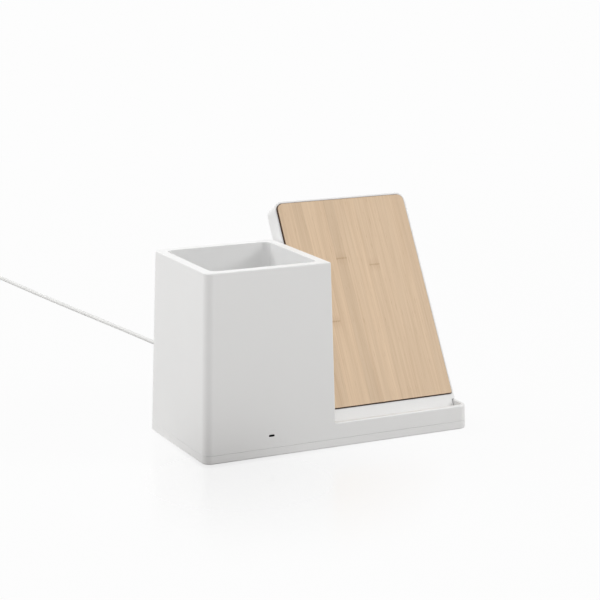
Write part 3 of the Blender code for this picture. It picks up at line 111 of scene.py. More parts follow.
class Bench:
    """A node tree, with short calls to add its nodes and join them."""

    def __init__(self, owner: Material | bpy.types.World) -> None:
        """Takes the tree of a material or of the surroundings."""
        owner.use_nodes = True
        self.owner, self.tree = owner, owner.node_tree

    @property
    def shader(self) -> Node:
        """The shader that a finish is made of."""
        return self.tree.nodes["Principled BSDF"]

    def node(self, kind: str, inputs: dict | None = None, **settings: object) -> Node:
        """Adds a node.

        Args:
            kind: The node's Blender type, without the words that all of them start with.
            inputs: Values or sockets for its inputs, by name or number.
            settings: The node's own settings.

        Returns:
            The new node.
        """
        made = self.tree.nodes.new(f"ShaderNode{kind}")
        for key, value in settings.items():
            setattr(made, key, value)
        self.feed(made, inputs or {})
        return made

    def feed(self, node: Node, inputs: dict) -> None:
        """Sets or links a node's inputs.

        Args:
            node: The node that takes them.
            inputs: Values or sockets, by name or number.
        """
        for key, value in inputs.items():
            socket = node.inputs[key]
            if isinstance(value, Socket):
                self.tree.links.new(value, socket)
            else:
                socket.default_value = (*value, 1.0) if socket.type == "RGBA" else value

    def coat(self, inputs: dict) -> None:
        """Sets or links inputs of the shader that a finish is made of."""
        self.feed(self.shader, inputs)

    def local(self, turn: Point = (0, 0, 0), foot: Point = (0, 0, 0), unit: Point = (1, 1, 1)) -> Socket:
        """Object coordinates measured in a turned frame.

        Args:
            turn: The frame's turn about X, Y and Z.
            foot: The frame's origin.
            unit: How long one step of the pattern is along each of its axes.

        Returns:
            The coordinates in that frame.
        """
        source = self.node("TexCoord").outputs["Object"]
        angles = tuple(math.radians(angle) for angle in turn)
        inputs = {"Vector": source, "Location": foot, "Rotation": angles, "Scale": unit}
        return self.node("Mapping", inputs, vector_type="TEXTURE").outputs["Vector"]

    def noise(self, place: Socket, scale: float, detail: float = 2.0) -> Socket:
        """A cloudy value between 0 and 1, with so many features to a metre and so many finer layers."""
        return self.node("TexNoise", {"Vector": place, "Scale": scale, "Detail": detail}).outputs["Fac"]

    def span(self, value: Socket, source: Sequence[float], target: Sequence[float]) -> Socket:
        """Carries a value from one range to another, clamped at both ends."""
        return self.node("MapRange", dict(enumerate((value, *source, *target)))).outputs[0]

    def math(self, operation: str, first: object, second: object = 0.0) -> Socket:
        """One step of arithmetic, by Blender's name for it."""
        return self.node("Math", {0: first, 1: second}, operation=operation).outputs[0]

    def mix(self, share: Socket, first: object, second: object) -> Socket:
        """Blends two colours, with a share of the second."""
        return self.node("Mix", {0: share, 6: first, 7: second}, data_type="RGBA").outputs[2]

    def blend(self, share: Socket, first: Node, second: Node) -> Node:
        """Blends two shaders, with a share of the second."""
        return self.node("MixShader", {0: share, 1: first.outputs[0], 2: second.outputs[0]})

    def relief(self, height: Socket, depth: float, strength: float = 1.0) -> Socket:
        """The normal of a surface with a relief of a depth, of which so much shows."""
        inputs = {"Height": height, "Distance": depth, "Strength": strength}
        return self.node("Bump", inputs).outputs["Normal"]


# Finishes


@dataclass(frozen=True)
class Finish:
    """What every finish has: its name, its colour and its roughness."""

    name: str
    colour: Colour
    roughness: float

    def build(self) -> Material:
        """Makes the material with its plain values and then its detail.

        Returns:
            The material.
        """
        bench = Bench(bpy.data.materials.new(self.name))
        bench.coat({"Base Color": self.colour, "Roughness": self.roughness})
        bench.owner.diffuse_color = (*self.colour, 1.0)
        self.detail(bench)
        return bench.owner

    def detail(self, bench: Bench) -> None:
        """Adds nothing: each finish has its own detail."""

    def shades(self, depth: float) -> tuple[Colour, Colour]:
        """The colour made darker and lighter by a share."""
        darker = tuple(value * (1 - depth) for value in self.colour)
        return darker, tuple(min(1.0, value * (1 + depth)) for value in self.colour)


@dataclass(frozen=True)
class Moulded(Finish):
    """Injection moulded plastic or rubber: a faint cloud in the colour and a spark-eroded grain."""

    cloud: float = 0.012
    grain_scale: float = 3800.0
    grain_depth: float = 0.000012
    cloud_scale: float = 28.0
    gloss_scale: float = 140.0
    gloss_swing: float = 0.05

    def detail(self, bench: Bench) -> None:
        """Adds the cloud, the grain and the uneven gloss.

        Args:
            bench: The material's node tree.
        """
        place = bench.local()
        colour = bench.mix(bench.noise(place, self.cloud_scale, 3.0), *self.shades(self.cloud))
        ends = (self.roughness - self.gloss_swing, self.roughness + self.gloss_swing)
        gloss = bench.span(bench.noise(place, self.gloss_scale), NOISE_SPAN, ends)
        grain = bench.relief(bench.noise(place, self.grain_scale, 1.0), self.grain_depth)
        bench.coat({"Base Color": colour, "Roughness": gloss, "Normal": grain})


@dataclass(frozen=True)
class Bamboo(Finish):
    """Laminated bamboo: strips of their own tone, long fibres, short vessel flecks and faint nodes.

    Each pattern has its stretch up the plate, its features to a metre and its finer layers. Each show has the
    values between which the pattern starts to show and shows in full, and how much it shows then.
    """

    lean: float
    foot: Point
    strip: float = 0.0062
    strip_depth: float = 0.055
    strip_wander: float = 0.12
    fleck_colour: Colour = (0.36, 0.2, 0.09)
    sway_pattern: Point = (4, 60.0, 2.0)
    fibre_pattern: Point = (90, 2600.0, 3.0)
    streak_pattern: Point = (30, 420.0, 2.0)
    fleck_pattern: Point = (14, 2100.0, 1.0)
    fibre_show: Point = (0.35, 0.7, 0.2)
    streak_show: Point = (0.4, 0.75, 0.16)
    fleck_show: Point = (0.66, 0.76, 0.32)
    node_pitch: float = 0.21
    node_shift: float = 7.0
    node_fray: float = 0.006
    node_line: Point = (0.0028, 0.0008, 0.5)
    node_halo: Point = (0.02, 0.002, 0.16)
    smoother: float = 0.06
    rougher: float = 0.08
    relief_depth: float = 0.00002
    relief_strength: float = 0.8

    def up_plate(self, bench: Bench, stretch: float) -> Socket:
        """Coordinates across and up the plate, in which a pattern is drawn out upwards."""
        return bench.local((-self.lean, 0, 0), self.foot, (1, 1, stretch))

    def pattern(self, bench: Bench, stretch: float, scale: float, layers: float) -> Socket:
        """A cloudy value that is drawn out up the plate."""
        return bench.noise(self.up_plate(bench, stretch), scale, layers)

    @staticmethod
    def show(bench: Bench, value: Socket, least: float, full: float, share: float) -> Socket:
        """How much a pattern shows, from nothing to its full share."""
        ends = ((least, full), (0.0, share)) if least < full else ((full, least), (share, 0.0))
        return bench.span(value, *ends)

    def detail(self, bench: Bench) -> None:
        """Adds the strips, fibres, flecks and nodes, all running up the plate.

        Args:
            bench: The material's node tree.
        """
        split = bench.node("SeparateXYZ", {0: self.up_plate(bench, 1)})
        across, up = split.outputs[0], split.outputs[2]
        wander = self.strip * self.strip_wander
        sway = bench.math("MULTIPLY", self.pattern(bench, *self.sway_pattern), wander)
        number = bench.math("FLOOR", bench.math("DIVIDE", bench.math("ADD", across, sway), self.strip))
        tone = bench.node("TexWhiteNoise", {"W": number}, noise_dimensions="1D").outputs["Value"]
        fibre = self.pattern(bench, *self.fibre_pattern)
        streak = self.pattern(bench, *self.streak_pattern)
        fleck = self.pattern(bench, *self.fleck_pattern)
        colour = bench.mix(tone, *self.shades(self.strip_depth))
        layers = ((fibre, self.fibre_show), (streak, self.streak_show), (fleck, self.fleck_show))
        for pattern, show in layers:
            colour = bench.mix(self.show(bench, pattern, *show), colour, self.fleck_colour)

        shift = bench.math("MULTIPLY", tone, self.node_shift)
        lift = bench.math("ADD", bench.math("DIVIDE", up, self.node_pitch), shift)
        near = bench.math("ABSOLUTE", bench.math("SUBTRACT", bench.math("FRACT", lift), 0.5))
        fray = bench.math("MULTIPLY", bench.math("SUBTRACT", fleck, 0.5), self.node_fray)
        near = bench.math("ABSOLUTE", bench.math("ADD", near, fray))
        line, halo = (self.show(bench, near, *show) for show in (self.node_line, self.node_halo))
        colour = bench.mix(bench.math("MAXIMUM", line, halo), colour, self.fleck_colour)
        ends = (self.roughness - self.smoother, self.roughness + self.rougher)
        gloss = bench.span(fibre, NOISE_SPAN, ends)
        height = bench.math("ADD", fibre, bench.math("MULTIPLY", fleck, 0.5))
        grain = bench.relief(height, self.relief_depth, self.relief_strength)
        bench.coat({"Base Color": colour, "Roughness": gloss, "Normal": grain})


@dataclass(frozen=True)
class Metal(Finish):
    """Plated metal: uneven gloss and fine marks that run one way."""

    run: Point = (1, 1, 1)
    mark_scale: float = 6000.0
    mark_depth: float = 0.000004
    cloud: float = 0.06
    cloud_scale: float = 300.0
    dullest: float = 1.35
    brightest: float = 0.7

    def detail(self, bench: Bench) -> None:
        """Adds the marks and the uneven gloss.

        Args:
            bench: The material's node tree.
        """
        marks = bench.relief(bench.noise(bench.local(unit=self.run), self.mark_scale), self.mark_depth)
        cloud = bench.noise(bench.local(), self.cloud_scale, 3.0)
        ends = (self.roughness * self.brightest, self.roughness * self.dullest)
        gloss = bench.span(cloud, NOISE_SPAN, ends)
        bench.coat({"Metallic": 1.0, "Base Color": bench.mix(cloud, *self.shades(self.cloud))})
        bench.coat({"Roughness": gloss, "Normal": marks})


@dataclass(frozen=True)
class Speckled(Finish):
    """A dull surface with a speckle, as ferrite, fired ceramic, epoxy and the plate's burnt edge have."""

    speckle: Colour = (0.3, 0.3, 0.3)
    speckle_share: float = 0.25
    speckle_span: tuple[float, float] = (0.5, 0.75)
    scale: float = 7000.0
    layers: float = 2.0
    depth: float = 0.00001

    def detail(self, bench: Bench) -> None:
        """Adds the speckle and a fine relief.

        Args:
            bench: The material's node tree.
        """
        grains = bench.noise(bench.local(), self.scale, self.layers)
        share = bench.span(grains, self.speckle_span, (0.0, self.speckle_share))
        colour = bench.mix(share, self.colour, self.speckle)
        bench.coat({"Base Color": colour, "Normal": bench.relief(grains, self.depth)})


@dataclass(frozen=True)
class TinnedCeramic(Speckled):
    """A chip capacitor's fired body between two tinned ends."""

    middle: float = 0.0
    half_body: float = 0.0011
    tin: Colour = (0.75, 0.74, 0.72)

    def detail(self, bench: Bench) -> None:
        """Adds the speckle and then the tinned ends, which lie front and rear of the middle.

        Args:
            bench: The material's node tree.
        """
        super().detail(bench)
        along = bench.node("SeparateXYZ", {0: bench.local()}).outputs[1]
        out = bench.math("ABSOLUTE", bench.math("SUBTRACT", along, self.middle))
        end = bench.math("GREATER_THAN", out, self.half_body)
        body = bench.shader.inputs["Base Color"].links[0].from_socket
        bench.coat({"Base Color": bench.mix(end, body, self.tin), "Metallic": end})


@dataclass(frozen=True)
class SolderMask(Finish):
    """Green lacquer over copper tracks."""

    track: Colour = (0.08, 0.36, 0.17)
    track_scale: float = 210.0
    track_depth: float = 0.00003

    def detail(self, bench: Bench) -> None:
        """Adds the tracks as thin raised lines.

        Args:
            bench: The material's node tree.
        """
        inputs = {"Vector": bench.local(), "Scale": self.track_scale, "Mortar Size": 0.05}
        inputs |= {"Mortar Smooth": 0.1, "Color1": BLACK, "Color2": BLACK, "Mortar": WHITE}
        tracks = bench.node("TexBrick", inputs, offset=0.37, squash=1.6, squash_frequency=3).outputs["Color"]
        colour = bench.mix(tracks, self.colour, self.track)
        bench.coat({"Base Color": colour, "Normal": bench.relief(tracks, self.track_depth)})


@dataclass(frozen=True)
class Clear(Finish):
    """Smoked acrylic with a faint haze."""

    def detail(self, bench: Bench) -> None:
        """Lets light through and adds the haze."""
        haze = bench.span(bench.noise(bench.local(), 900.0), NOISE_SPAN, (self.roughness, self.roughness * 2))
        bench.coat({"Transmission Weight": 0.7, "IOR": 1.49, "Roughness": haze})


@dataclass(frozen=True)
class Strand(Finish):
    """A winding of enamelled strands, twisted round each other."""

    lay: Point = (20, 35, 15)
    contrast: float = 0.3
    ridge_depth: float = 0.00005

    def detail(self, bench: Bench) -> None:
        """Adds the strands' fine ridges.

        Args:
            bench: The material's node tree.
        """
        inputs = {"Vector": bench.local(self.lay), "Scale": 900.0, "Distortion": 3.0, "Detail": 1.0}
        ridges = bench.node("TexWave", inputs).outputs["Fac"]
        bench.coat({"Base Color": bench.mix(ridges, *self.shades(self.contrast))})
        bench.coat({"Metallic": 0.85, "Coat Weight": 0.5, "Normal": bench.relief(ridges, self.ridge_depth)})


@dataclass(frozen=True)
class WovenTape(Finish):
    """Hook and loop tape: a tight weave with a napped face."""

    contrast: float = 0.45
    weave_scale: float = 480.0
    nap_scale: float = 5200.0
    depth: float = 0.00015

    def detail(self, bench: Bench) -> None:
        """Adds the weave and the nap.

        Args:
            bench: The material's node tree.
        """
        place = bench.local()
        inputs = {"Vector": place, "Scale": self.weave_scale, "Distortion": 1.2}
        weave = [bench.node("TexWave", inputs, bands_direction=way).outputs["Fac"] for way in "XYZ"]
        crossed = bench.math("MULTIPLY", bench.math("MAXIMUM", weave[0], weave[1]), weave[2])
        height = bench.math("ADD", crossed, bench.noise(place, self.nap_scale, 3.0))
        bench.coat({"Base Color": bench.mix(crossed, *self.shades(self.contrast)), "Sheen Weight": 0.4})
        bench.coat({"Normal": bench.relief(height, self.depth)})


# Meshes and objects


def written(bm: bmesh.types.BMesh, name: str) -> bpy.types.Mesh:
    """Writes a mesh in the making to a mesh of its own.

    Args:
        bm: The mesh in the making, which is used up.
        name: The new mesh's name.

    Returns:
        The new mesh.
    """
    mesh = bpy.data.meshes.new(name)
    bm.to_mesh(mesh)
    bm.free()
    return mesh


def shown(name: str, data: bpy.types.ID) -> Thing:
    """Makes an object of a mesh, a curve, a lamp or a camera, and puts it in the scene.

    Args:
        name: Its name.
        data: What it is made of.

    Returns:
        The object.
    """
    thing = bpy.data.objects.new(name, data)
    bpy.context.scene.collection.objects.link(thing)
    return thing


def stood(foot: Vector, way: Vector) -> Matrix:
    """The move that stands an upright shape on a place, with its top turned in a direction."""
    return Matrix.Translation(foot) @ UP.rotation_difference(way).to_matrix().to_4x4()


def middle_of(edge: Edge) -> Vector:
    """The middle of an edge."""
    return (edge.verts[0].co + edge.verts[1].co) / 2


def looks_out(edge: Edge) -> bool:
    """Whether a face of an edge looks away from the holder's upright middle line."""
    return max(face.normal.xy.dot(middle_of(edge).xy) for face in edge.link_faces) > 0


def register(piece: Thing, body: Body, stands_for: Sequence[str] = ()) -> None:
    """Ties a piece to its body, and hides and logs the solids that it replaces.

    Args:
        piece: The piece.
        body: The body that it rides on.
        stands_for: The solids that it replaces.
    """
    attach(piece, body.value)
    if stands_for:
        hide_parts(*stands_for)
    LOG.info("piece %s on %s stands for %s", piece.name, body.value, ", ".join(stands_for) or "nothing")


class Skin:
    """A mesh in the making, with the few operations that the pieces share."""

    def __init__(self, bm: bmesh.types.BMesh) -> None:
        """Starts from a mesh."""
        self.bm = bm

    @classmethod
    def of_solid(cls, node: Thing) -> Skin:
        """Copies a solid and merges its loose triangles into whole faces.

        Args:
            node: The solid's object.

        Returns:
            The copy.
        """
        bm = bmesh.new()
        bm.from_mesh(node.data)
        bmesh.ops.remove_doubles(bm, verts=bm.verts, dist=MERGE_DISTANCE)
        bmesh.ops.dissolve_limit(bm, angle_limit=math.radians(FLAT_ANGLE), verts=bm.verts, edges=bm.edges)
        bm.normal_update()
        return cls(bm)

    @classmethod
    def block(cls, low: Sequence[float], high: Sequence[float]) -> Skin:
        """A box between two corners.

        Args:
            low: Its lowest corner.
            high: Its highest corner.

        Returns:
            The box.
        """
        bm = bmesh.new()
        bmesh.ops.create_cube(bm, size=1.0)
        low, high = Vector(low), Vector(high)
        bmesh.ops.scale(bm, vec=high - low, verts=bm.verts)
        bmesh.ops.translate(bm, vec=(low + high) / 2, verts=bm.verts)
        return cls(bm)

    @classmethod
    def turned(cls, profile: Sequence[tuple[float, float]], steps: int) -> Skin:
        """A solid turned round Z.

        Args:
            profile: Radius and height of each point, from one end of the axis to the other.
            steps: How many steps a turn has.

        Returns:
            The solid.
        """
        bm = bmesh.new()
        verts = [bm.verts.new((radius, 0, height)) for radius, height in profile]
        geom = verts + [bm.edges.new(pair) for pair in zip(verts, verts[1:])]
        round_z = {"cent": (0, 0, 0), "axis": (0, 0, 1), "angle": math.tau}
        bmesh.ops.spin(bm, geom=geom, steps=steps, use_merge=True, **round_z)
        bmesh.ops.remove_doubles(bm, verts=bm.verts, dist=MERGE_DISTANCE)
        bmesh.ops.recalc_face_normals(bm, faces=bm.faces)
        return cls(bm)

    def bevel(self, edges: Iterable[Edge], radius: float, segments: int = 3) -> None:
        """Rounds edges.

        Args:
            edges: The edges.
            radius: How far the rounding reaches from each.
            segments: How many facets it has.
        """
        picked = [edge for edge in edges if edge.is_valid]
        if picked:
            form = {"offset": radius, "offset_type": "OFFSET", "segments": segments, "profile": 0.5}
            bmesh.ops.bevel(self.bm, geom=picked, affect="EDGES", clamp_overlap=True, material=-1, **form)
            self.bm.normal_update()

    def sharp(self, wanted: Callable[[Edge], bool], least: float = 40.0) -> list[Edge]:
        """The outer edges that are sharp and wanted.

        Args:
            wanted: Says whether an edge is wanted.
            least: The least angle between its two faces.

        Returns:
            The edges.
        """
        limit = math.radians(least)
        outer = [edge for edge in self.bm.edges if len(edge.link_faces) == 2 and edge.is_convex]
        return [edge for edge in outer if edge.calc_face_angle() > limit and wanted(edge)]

    def along(self, axis: int) -> list[Edge]:
        """The edges parallel to an axis, by its number."""
        runs = [(edge, edge.verts[1].co - edge.verts[0].co) for edge in self.bm.edges]
        return [edge for edge, run in runs if abs(run[axis]) > PARALLEL * run.length]

    def facing(self, way: Vector) -> list[Edge]:
        """The edges of the outermost face that looks in a direction."""
        looking = [face for face in self.bm.faces if face.normal.dot(way) > PARALLEL]
        return list(max(looking, key=lambda face: face.calc_center_median().dot(way)).edges)

    def moved(self, matrix: Matrix) -> Skin:
        """Puts the mesh in its place, and gives back the same skin."""
        bmesh.ops.transform(self.bm, matrix=matrix, verts=self.bm.verts)
        return self

    def join(self, other: Skin) -> None:
        """Takes another skin's mesh into this one, without fusing the two.

        Args:
            other: The other skin, which is used up.
        """
        mesh = written(other.bm, "joined")
        self.bm.from_mesh(mesh)
        bpy.data.meshes.remove(mesh)

    def cut(self, cutter: Skin) -> Skin:
        """Cuts another solid out of this one.

        Args:
            cutter: The solid to cut with, which is used up.

        Returns:
            A new skin with the result.
        """
        things = [shown(name, written(skin.bm, name)) for name, skin in (("whole", self), ("cutter", cutter))]
        step = things[0].modifiers.new("Cut", "BOOLEAN")
        step.solver = "EXACT"
        step.object = things[1]
        bm = bmesh.new()
        bm.from_object(things[0], bpy.context.evaluated_depsgraph_get())
        for thing in things:
            mesh = thing.data
            bpy.data.objects.remove(thing)
            bpy.data.meshes.remove(mesh)
        return Skin(bm)

    def paint(self, number: int, wanted: Callable[[Face], bool]) -> None:
        """Gives the wanted faces another of the piece's materials.

        Args:
            number: The material's number on the piece.
            wanted: Says whether a face takes it.
        """
        for face in self.bm.faces:
            if wanted(face):
                face.material_index = number

    def finish(
        self, name: str, materials: Sequence[Material], body: Body, slot: str, stands_for: Sequence[str] = ()
    ) -> Thing:
        """Turns the mesh into a piece that rides on a body.

        Args:
            name: The piece's name.
            materials: Its materials.
            body: The body that it rides on.
            slot: The record's material slot; not used.
            stands_for: The solids that it replaces.

        Returns:
            The piece.
        """
        mesh = written(self.bm, name)
        for material in materials:
            mesh.materials.append(material)
        mesh.shade_smooth()
        mesh.set_sharp_from_angle(angle=math.radians(SHARP_ANGLE))
        piece = shown(name, mesh)
        piece.modifiers.new("Normals", "WEIGHTED_NORMAL").keep_sharp = True
        register(piece, body, stands_for)
        return piece


# The holder's own frame


@dataclass
class Layout:
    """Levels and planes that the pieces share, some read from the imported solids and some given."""

    foot_stand: float = 0.0006
    lip_height: float = 0.0127
    backrest_setback: float = 0.005
    lean: float = 30.3
    front_y: float = field(init=False)
    rear_y: float = field(init=False)
    cup_top: float = field(init=False)
    lip_top: float = field(init=False)

    def __post_init__(self) -> None:
        """Reads the holder's outer faces."""
        low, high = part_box("base_cover")
        self.front_y, self.rear_y = low.y, high.y
        self.cup_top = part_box("housing")[1].z
        self.lip_top = self.foot_stand + self.lip_height

    @property
    def backrest_foot(self) -> Point:
        """Where the backrest's front plane meets the level of the cover's lower edge."""
        return (0.0, self.front_y + self.backrest_setback, self.foot_stand)

    @property
    def backrest_frame(self) -> Matrix:
        """The matrix from across, in and up in the backrest to the room."""
        return Matrix.Translation(self.backrest_foot) @ Matrix.Rotation(math.radians(-self.lean), 4, "X")

    @property
    def forward(self) -> Vector:
        """The way in which the backrest's front looks."""
        return self.backrest_frame.to_3x3() @ Vector((0, -1, 0))


# Mouldings


@dataclass
class HousingMoulding:
    """The pen cup and the low base beside it, one moulding."""

    layout: Layout
    rim_round: float = 0.0005
    lip_round: float = 0.00035
    lip_start: float = -0.0026
    parting_round: float = 0.00005
    port_round: float = 0.0003
    port_across: tuple[float, float] = (0.0, 0.012)
    port_up: tuple[float, float] = (0.0055, 0.0125)
    port_in: float = 0.001
    slot_round: float = 0.0001
    slot_centre: Point = (-0.0389, -0.0402, 0.0113)
    slot_half: float = 0.0018
    slot_near: float = 0.0007
    slot_edge: float = 0.0001
    slot_side: float = 0.9
    level_slack: float = 0.00005

    def build(self, node: Thing, plastic: Material, dark: Material) -> None:
        """Softens the rim, the lip, the parting edge, the port and the lamp slot, and paints shade on the
        slot's inner walls.

        Args:
            node: The housing's solid.
            plastic: Its material.
            dark: The near-black material painted as shade on the slot's inner walls.
        """
        skin = Skin.of_solid(node)
        skin.bevel(skin.sharp(self.on_rim), self.rim_round)
        skin.bevel(skin.sharp(self.on_lip), self.lip_round)
        skin.bevel(skin.sharp(self.on_parting), self.parting_round, 2)
        skin.bevel(skin.sharp(self.round_port), self.port_round, 2)
        skin.bevel(skin.sharp(self.round_slot), self.slot_round, 2)
        # Painted shade: the lamp slot's inner walls of the white moulding take a near-black finish.
        skin.paint(1, self.takes_slot_shade)
        skin.finish("housing_skin", [plastic, dark], Body.HOLDER, "white_satin", ["housing"])

    def at_level(self, edge: Edge, level: float) -> bool:
        """Whether an edge lies at a level."""
        return all(abs(vert.co.z - level) < self.level_slack for vert in edge.verts)

    def on_rim(self, edge: Edge) -> bool:
        """Whether an edge is the cup's inner rim."""
        return self.at_level(edge, self.layout.cup_top)

    def on_lip(self, edge: Edge) -> bool:
        """Whether an edge is on the base's top, outside or round the channel, and clear of the cup's wall."""
        clear = all(vert.co.x > self.lip_start for vert in edge.verts)
        return clear and self.at_level(edge, self.layout.lip_top)

    def on_parting(self, edge: Edge) -> bool:
        """Whether an edge is the outer lower edge, over the parting line."""
        below = min(face.normal.z for face in edge.link_faces) < -LEVEL
        return below and looks_out(edge) and middle_of(edge).z < self.layout.lip_top / 2

    def round_port(self, edge: Edge) -> bool:
        """Whether an edge is the plug port's outer edge in the rear wall.

        Args:
            edge: The edge.

        Returns:
            Whether it is.
        """
        (left, right), (low, high) = self.port_across, self.port_up
        middle = middle_of(edge)
        behind = all(vert.co.y > self.layout.rear_y - self.port_in for vert in edge.verts)
        return behind and left < middle.x < right and low < middle.z < high

    def by_slot(self, spot: Vector) -> bool:
        """Whether a spot is at the lamp slot, across and up."""
        off = spot - Vector(self.slot_centre)
        return abs(off.x) < self.slot_half and abs(off.z) < self.slot_near

    def round_slot(self, edge: Edge) -> bool:
        """Whether an edge is the lamp slot's outer edge in the front face."""
        ahead = all(abs(vert.co.y - self.slot_centre[1]) < self.slot_near for vert in edge.verts)
        return ahead and self.by_slot(middle_of(edge))

    def takes_slot_shade(self, face: Face) -> bool:
        """Whether a face is one of the lamp slot's inner walls, which take painted shade."""
        spot = face.calc_center_median()
        inside = spot.y - self.slot_centre[1] > self.slot_edge and abs(face.normal.y) < self.slot_side
        return inside and self.by_slot(spot)


@dataclass
class BaseCover:
    """The low cover under the housing, with its feet."""

    layout: Layout
    edge_round: float = 0.00005
    rim_level: float = 0.0047
    rim_slack: float = 0.0001
    rim_lift: float = 0.0002
    foot_radius: float = 0.005
    foot_height: float = 0.0015
    groove_radius: float = 0.0032
    groove_width: float = 0.0005
    groove_depth: float = 0.0003
    chamfer_share: float = 0.3
    foot_steps: int = 48

    def build(self, node: Thing, plastic: Material) -> None:
        """Lifts the cover's rim towards the parting line and softens its outer edge.

        Args:
            node: The cover's solid.
            plastic: Its material.
        """
        skin = Skin.of_solid(node)
        rim = {vert for edge in skin.sharp(self.outside) for face in edge.link_faces for vert in face.verts}
        for vert in rim:
            if abs(vert.co.z - self.rim_level) < self.rim_slack:
                vert.co.z += self.rim_lift
        skin.bevel(skin.sharp(self.outside), self.edge_round, 2)
        skin.finish("base_cover_skin", [plastic], Body.HOLDER, "white_satin", ["base_cover"])

    def outside(self, edge: Edge) -> bool:
        """Whether an edge is on the cover's outer wall, where it meets the parting line."""
        above = max(face.normal.z for face in edge.link_faces) > LEVEL
        return above and looks_out(edge) and middle_of(edge).z > self.rim_level - self.rim_slack

    def build_feet(self, rubber: Material) -> None:
        """Models the four pads with a rounded edge and a ring groove in the sole.

        Args:
            rubber: Their material.
        """
        edge, radius, height = self.layout.foot_stand / 2, self.foot_radius, self.foot_height
        inner, outer, deep = self.groove_radius, self.groove_radius + self.groove_width, self.groove_depth
        sole = [(0, 0), (inner, 0), (inner, deep), (outer, deep), (outer, 0), (radius - edge, 0)]
        chamfer = edge * self.chamfer_share
        side = [(radius - chamfer, chamfer), (radius, edge), (radius, height), (0, height)]
        for number in range(1, 5):
            node = f"foot_pad_{number}"
            low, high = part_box(node)
            middle = (low + high) / 2
            place = Matrix.Translation((middle.x, middle.y, low.z))
            pad = Skin.turned(sole + side, self.foot_steps).moved(place)
            pad.finish(f"{node}_ringed", [rubber], Body.HOLDER, "rubber_pad", [node])


@dataclass
class PanHeadScrew:
    """A small screw with a domed head, a cross recess and a threaded shank."""

    shank_radius: float
    head_radius: float
    head_height: float
    length: float
    dome_stations: Sequence[float] = (0.25, 0.5, 0.75, 0.92)
    dome_share: float = 0.55
    edge_share: float = 0.35
    recess_share: float = 0.55
    recess_depth: float = 0.6
    cutter_reach: float = 1.3
    slot_share: float = 0.16
    steps: int = 32
    thread_pitch: float = 0.0006
    thread_depth: float = 0.00016

    def shape(self) -> Skin:
        """Models the screw with its head's underside at z = 0 and its shank up from there.

        Returns:
            The screw.
        """
        radius, height, shank = self.head_radius, self.head_height, self.shank_radius
        core = shank - self.thread_depth
        profile = [(0, -height)]
        for share in self.dome_stations:
            profile.append((radius * share, -height * (1 - share**3 * self.dome_share)))
        profile += [(radius, -height * self.edge_share), (radius, 0), (shank, 0)]
        for turn in range(int((self.length - shank * 2) / self.thread_pitch)):
            start = self.thread_pitch * (turn + 0.5)
            profile += [(core, start), (shank, start + self.thread_pitch / 2)]
        profile += [(core, self.length - shank), (0, self.length)]
        screw = Skin.turned(profile, self.steps)
        reach, half = radius * self.recess_share, radius * self.slot_share
        low, high = -height * self.cutter_reach, -height + height * self.recess_depth
        for x, y in ((reach, half), (half, reach)):
            screw = screw.cut(Skin.block((-x, -y, low), (x, y, high)))
        return screw

    def drive(self, node: str, axis: Vector, steel: Material) -> None:
        """Puts the screw where its solid is.

        Args:
            node: The solid's name.
            axis: Which way the shank points.
            steel: Its material.
        """
        low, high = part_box(node)
        if abs(axis.z) > LEVEL:
            head = (low + high) / 2 - axis * ((self.length - self.head_height) / 2)
        else:
            head = self.leaning_head(low, high, axis)
        skin = self.shape().moved(stood(head, axis))
        skin.finish(f"{node}_cross_head", [steel], Body.HOLDER, "screw_steel", [node])

    def leaning_head(self, low: Vector, high: Vector, axis: Vector) -> Vector:
        """Where a leaning screw's head seats, from its box.

        Args:
            low: The box's lowest corner.
            high: Its highest corner.
            axis: Which way the shank points.

        Returns:
            The middle of the head's underside.
        """
        across = math.sqrt(1 - axis.y**2) * self.head_radius
        up = math.sqrt(1 - axis.z**2) * self.head_radius
        rear = high.y - across + axis.y * self.head_height
        return Vector(((low.x + high.x) / 2, rear, low.z + up + axis.z * self.head_height))


@dataclass
class Screws:
    """The holder's fourteen screws, in two thicknesses and four lengths."""

    layout: Layout
    large: Point = (0.0011, 0.0021, 0.0013)
    small: Point = (0.0009, 0.0018, 0.001)
    cover_length: float = 0.0048
    backrest_length: float = 0.0044
    board_length: float = 0.0042
    stand_length: float = 0.0066

    def build(self, steel: Material) -> None:
        """Drives every screw in where its solid is.

        Args:
            steel: Their material.
        """
        rows = (
            ("cover_screw", UP, PanHeadScrew(*self.large, self.cover_length)),
            ("backrest_screw", self.layout.forward, PanHeadScrew(*self.small, self.backrest_length)),
            ("board_screw", DOWN, PanHeadScrew(*self.small, self.board_length)),
        )
        for number in range(1, 5):
            for name, axis, screw in rows:
                screw.drive(f"{name}_{number}", axis, steel)
        for number in (1, 2):
            PanHeadScrew(*self.large, self.stand_length).drive(f"stand_screw_{number}", UP, steel)


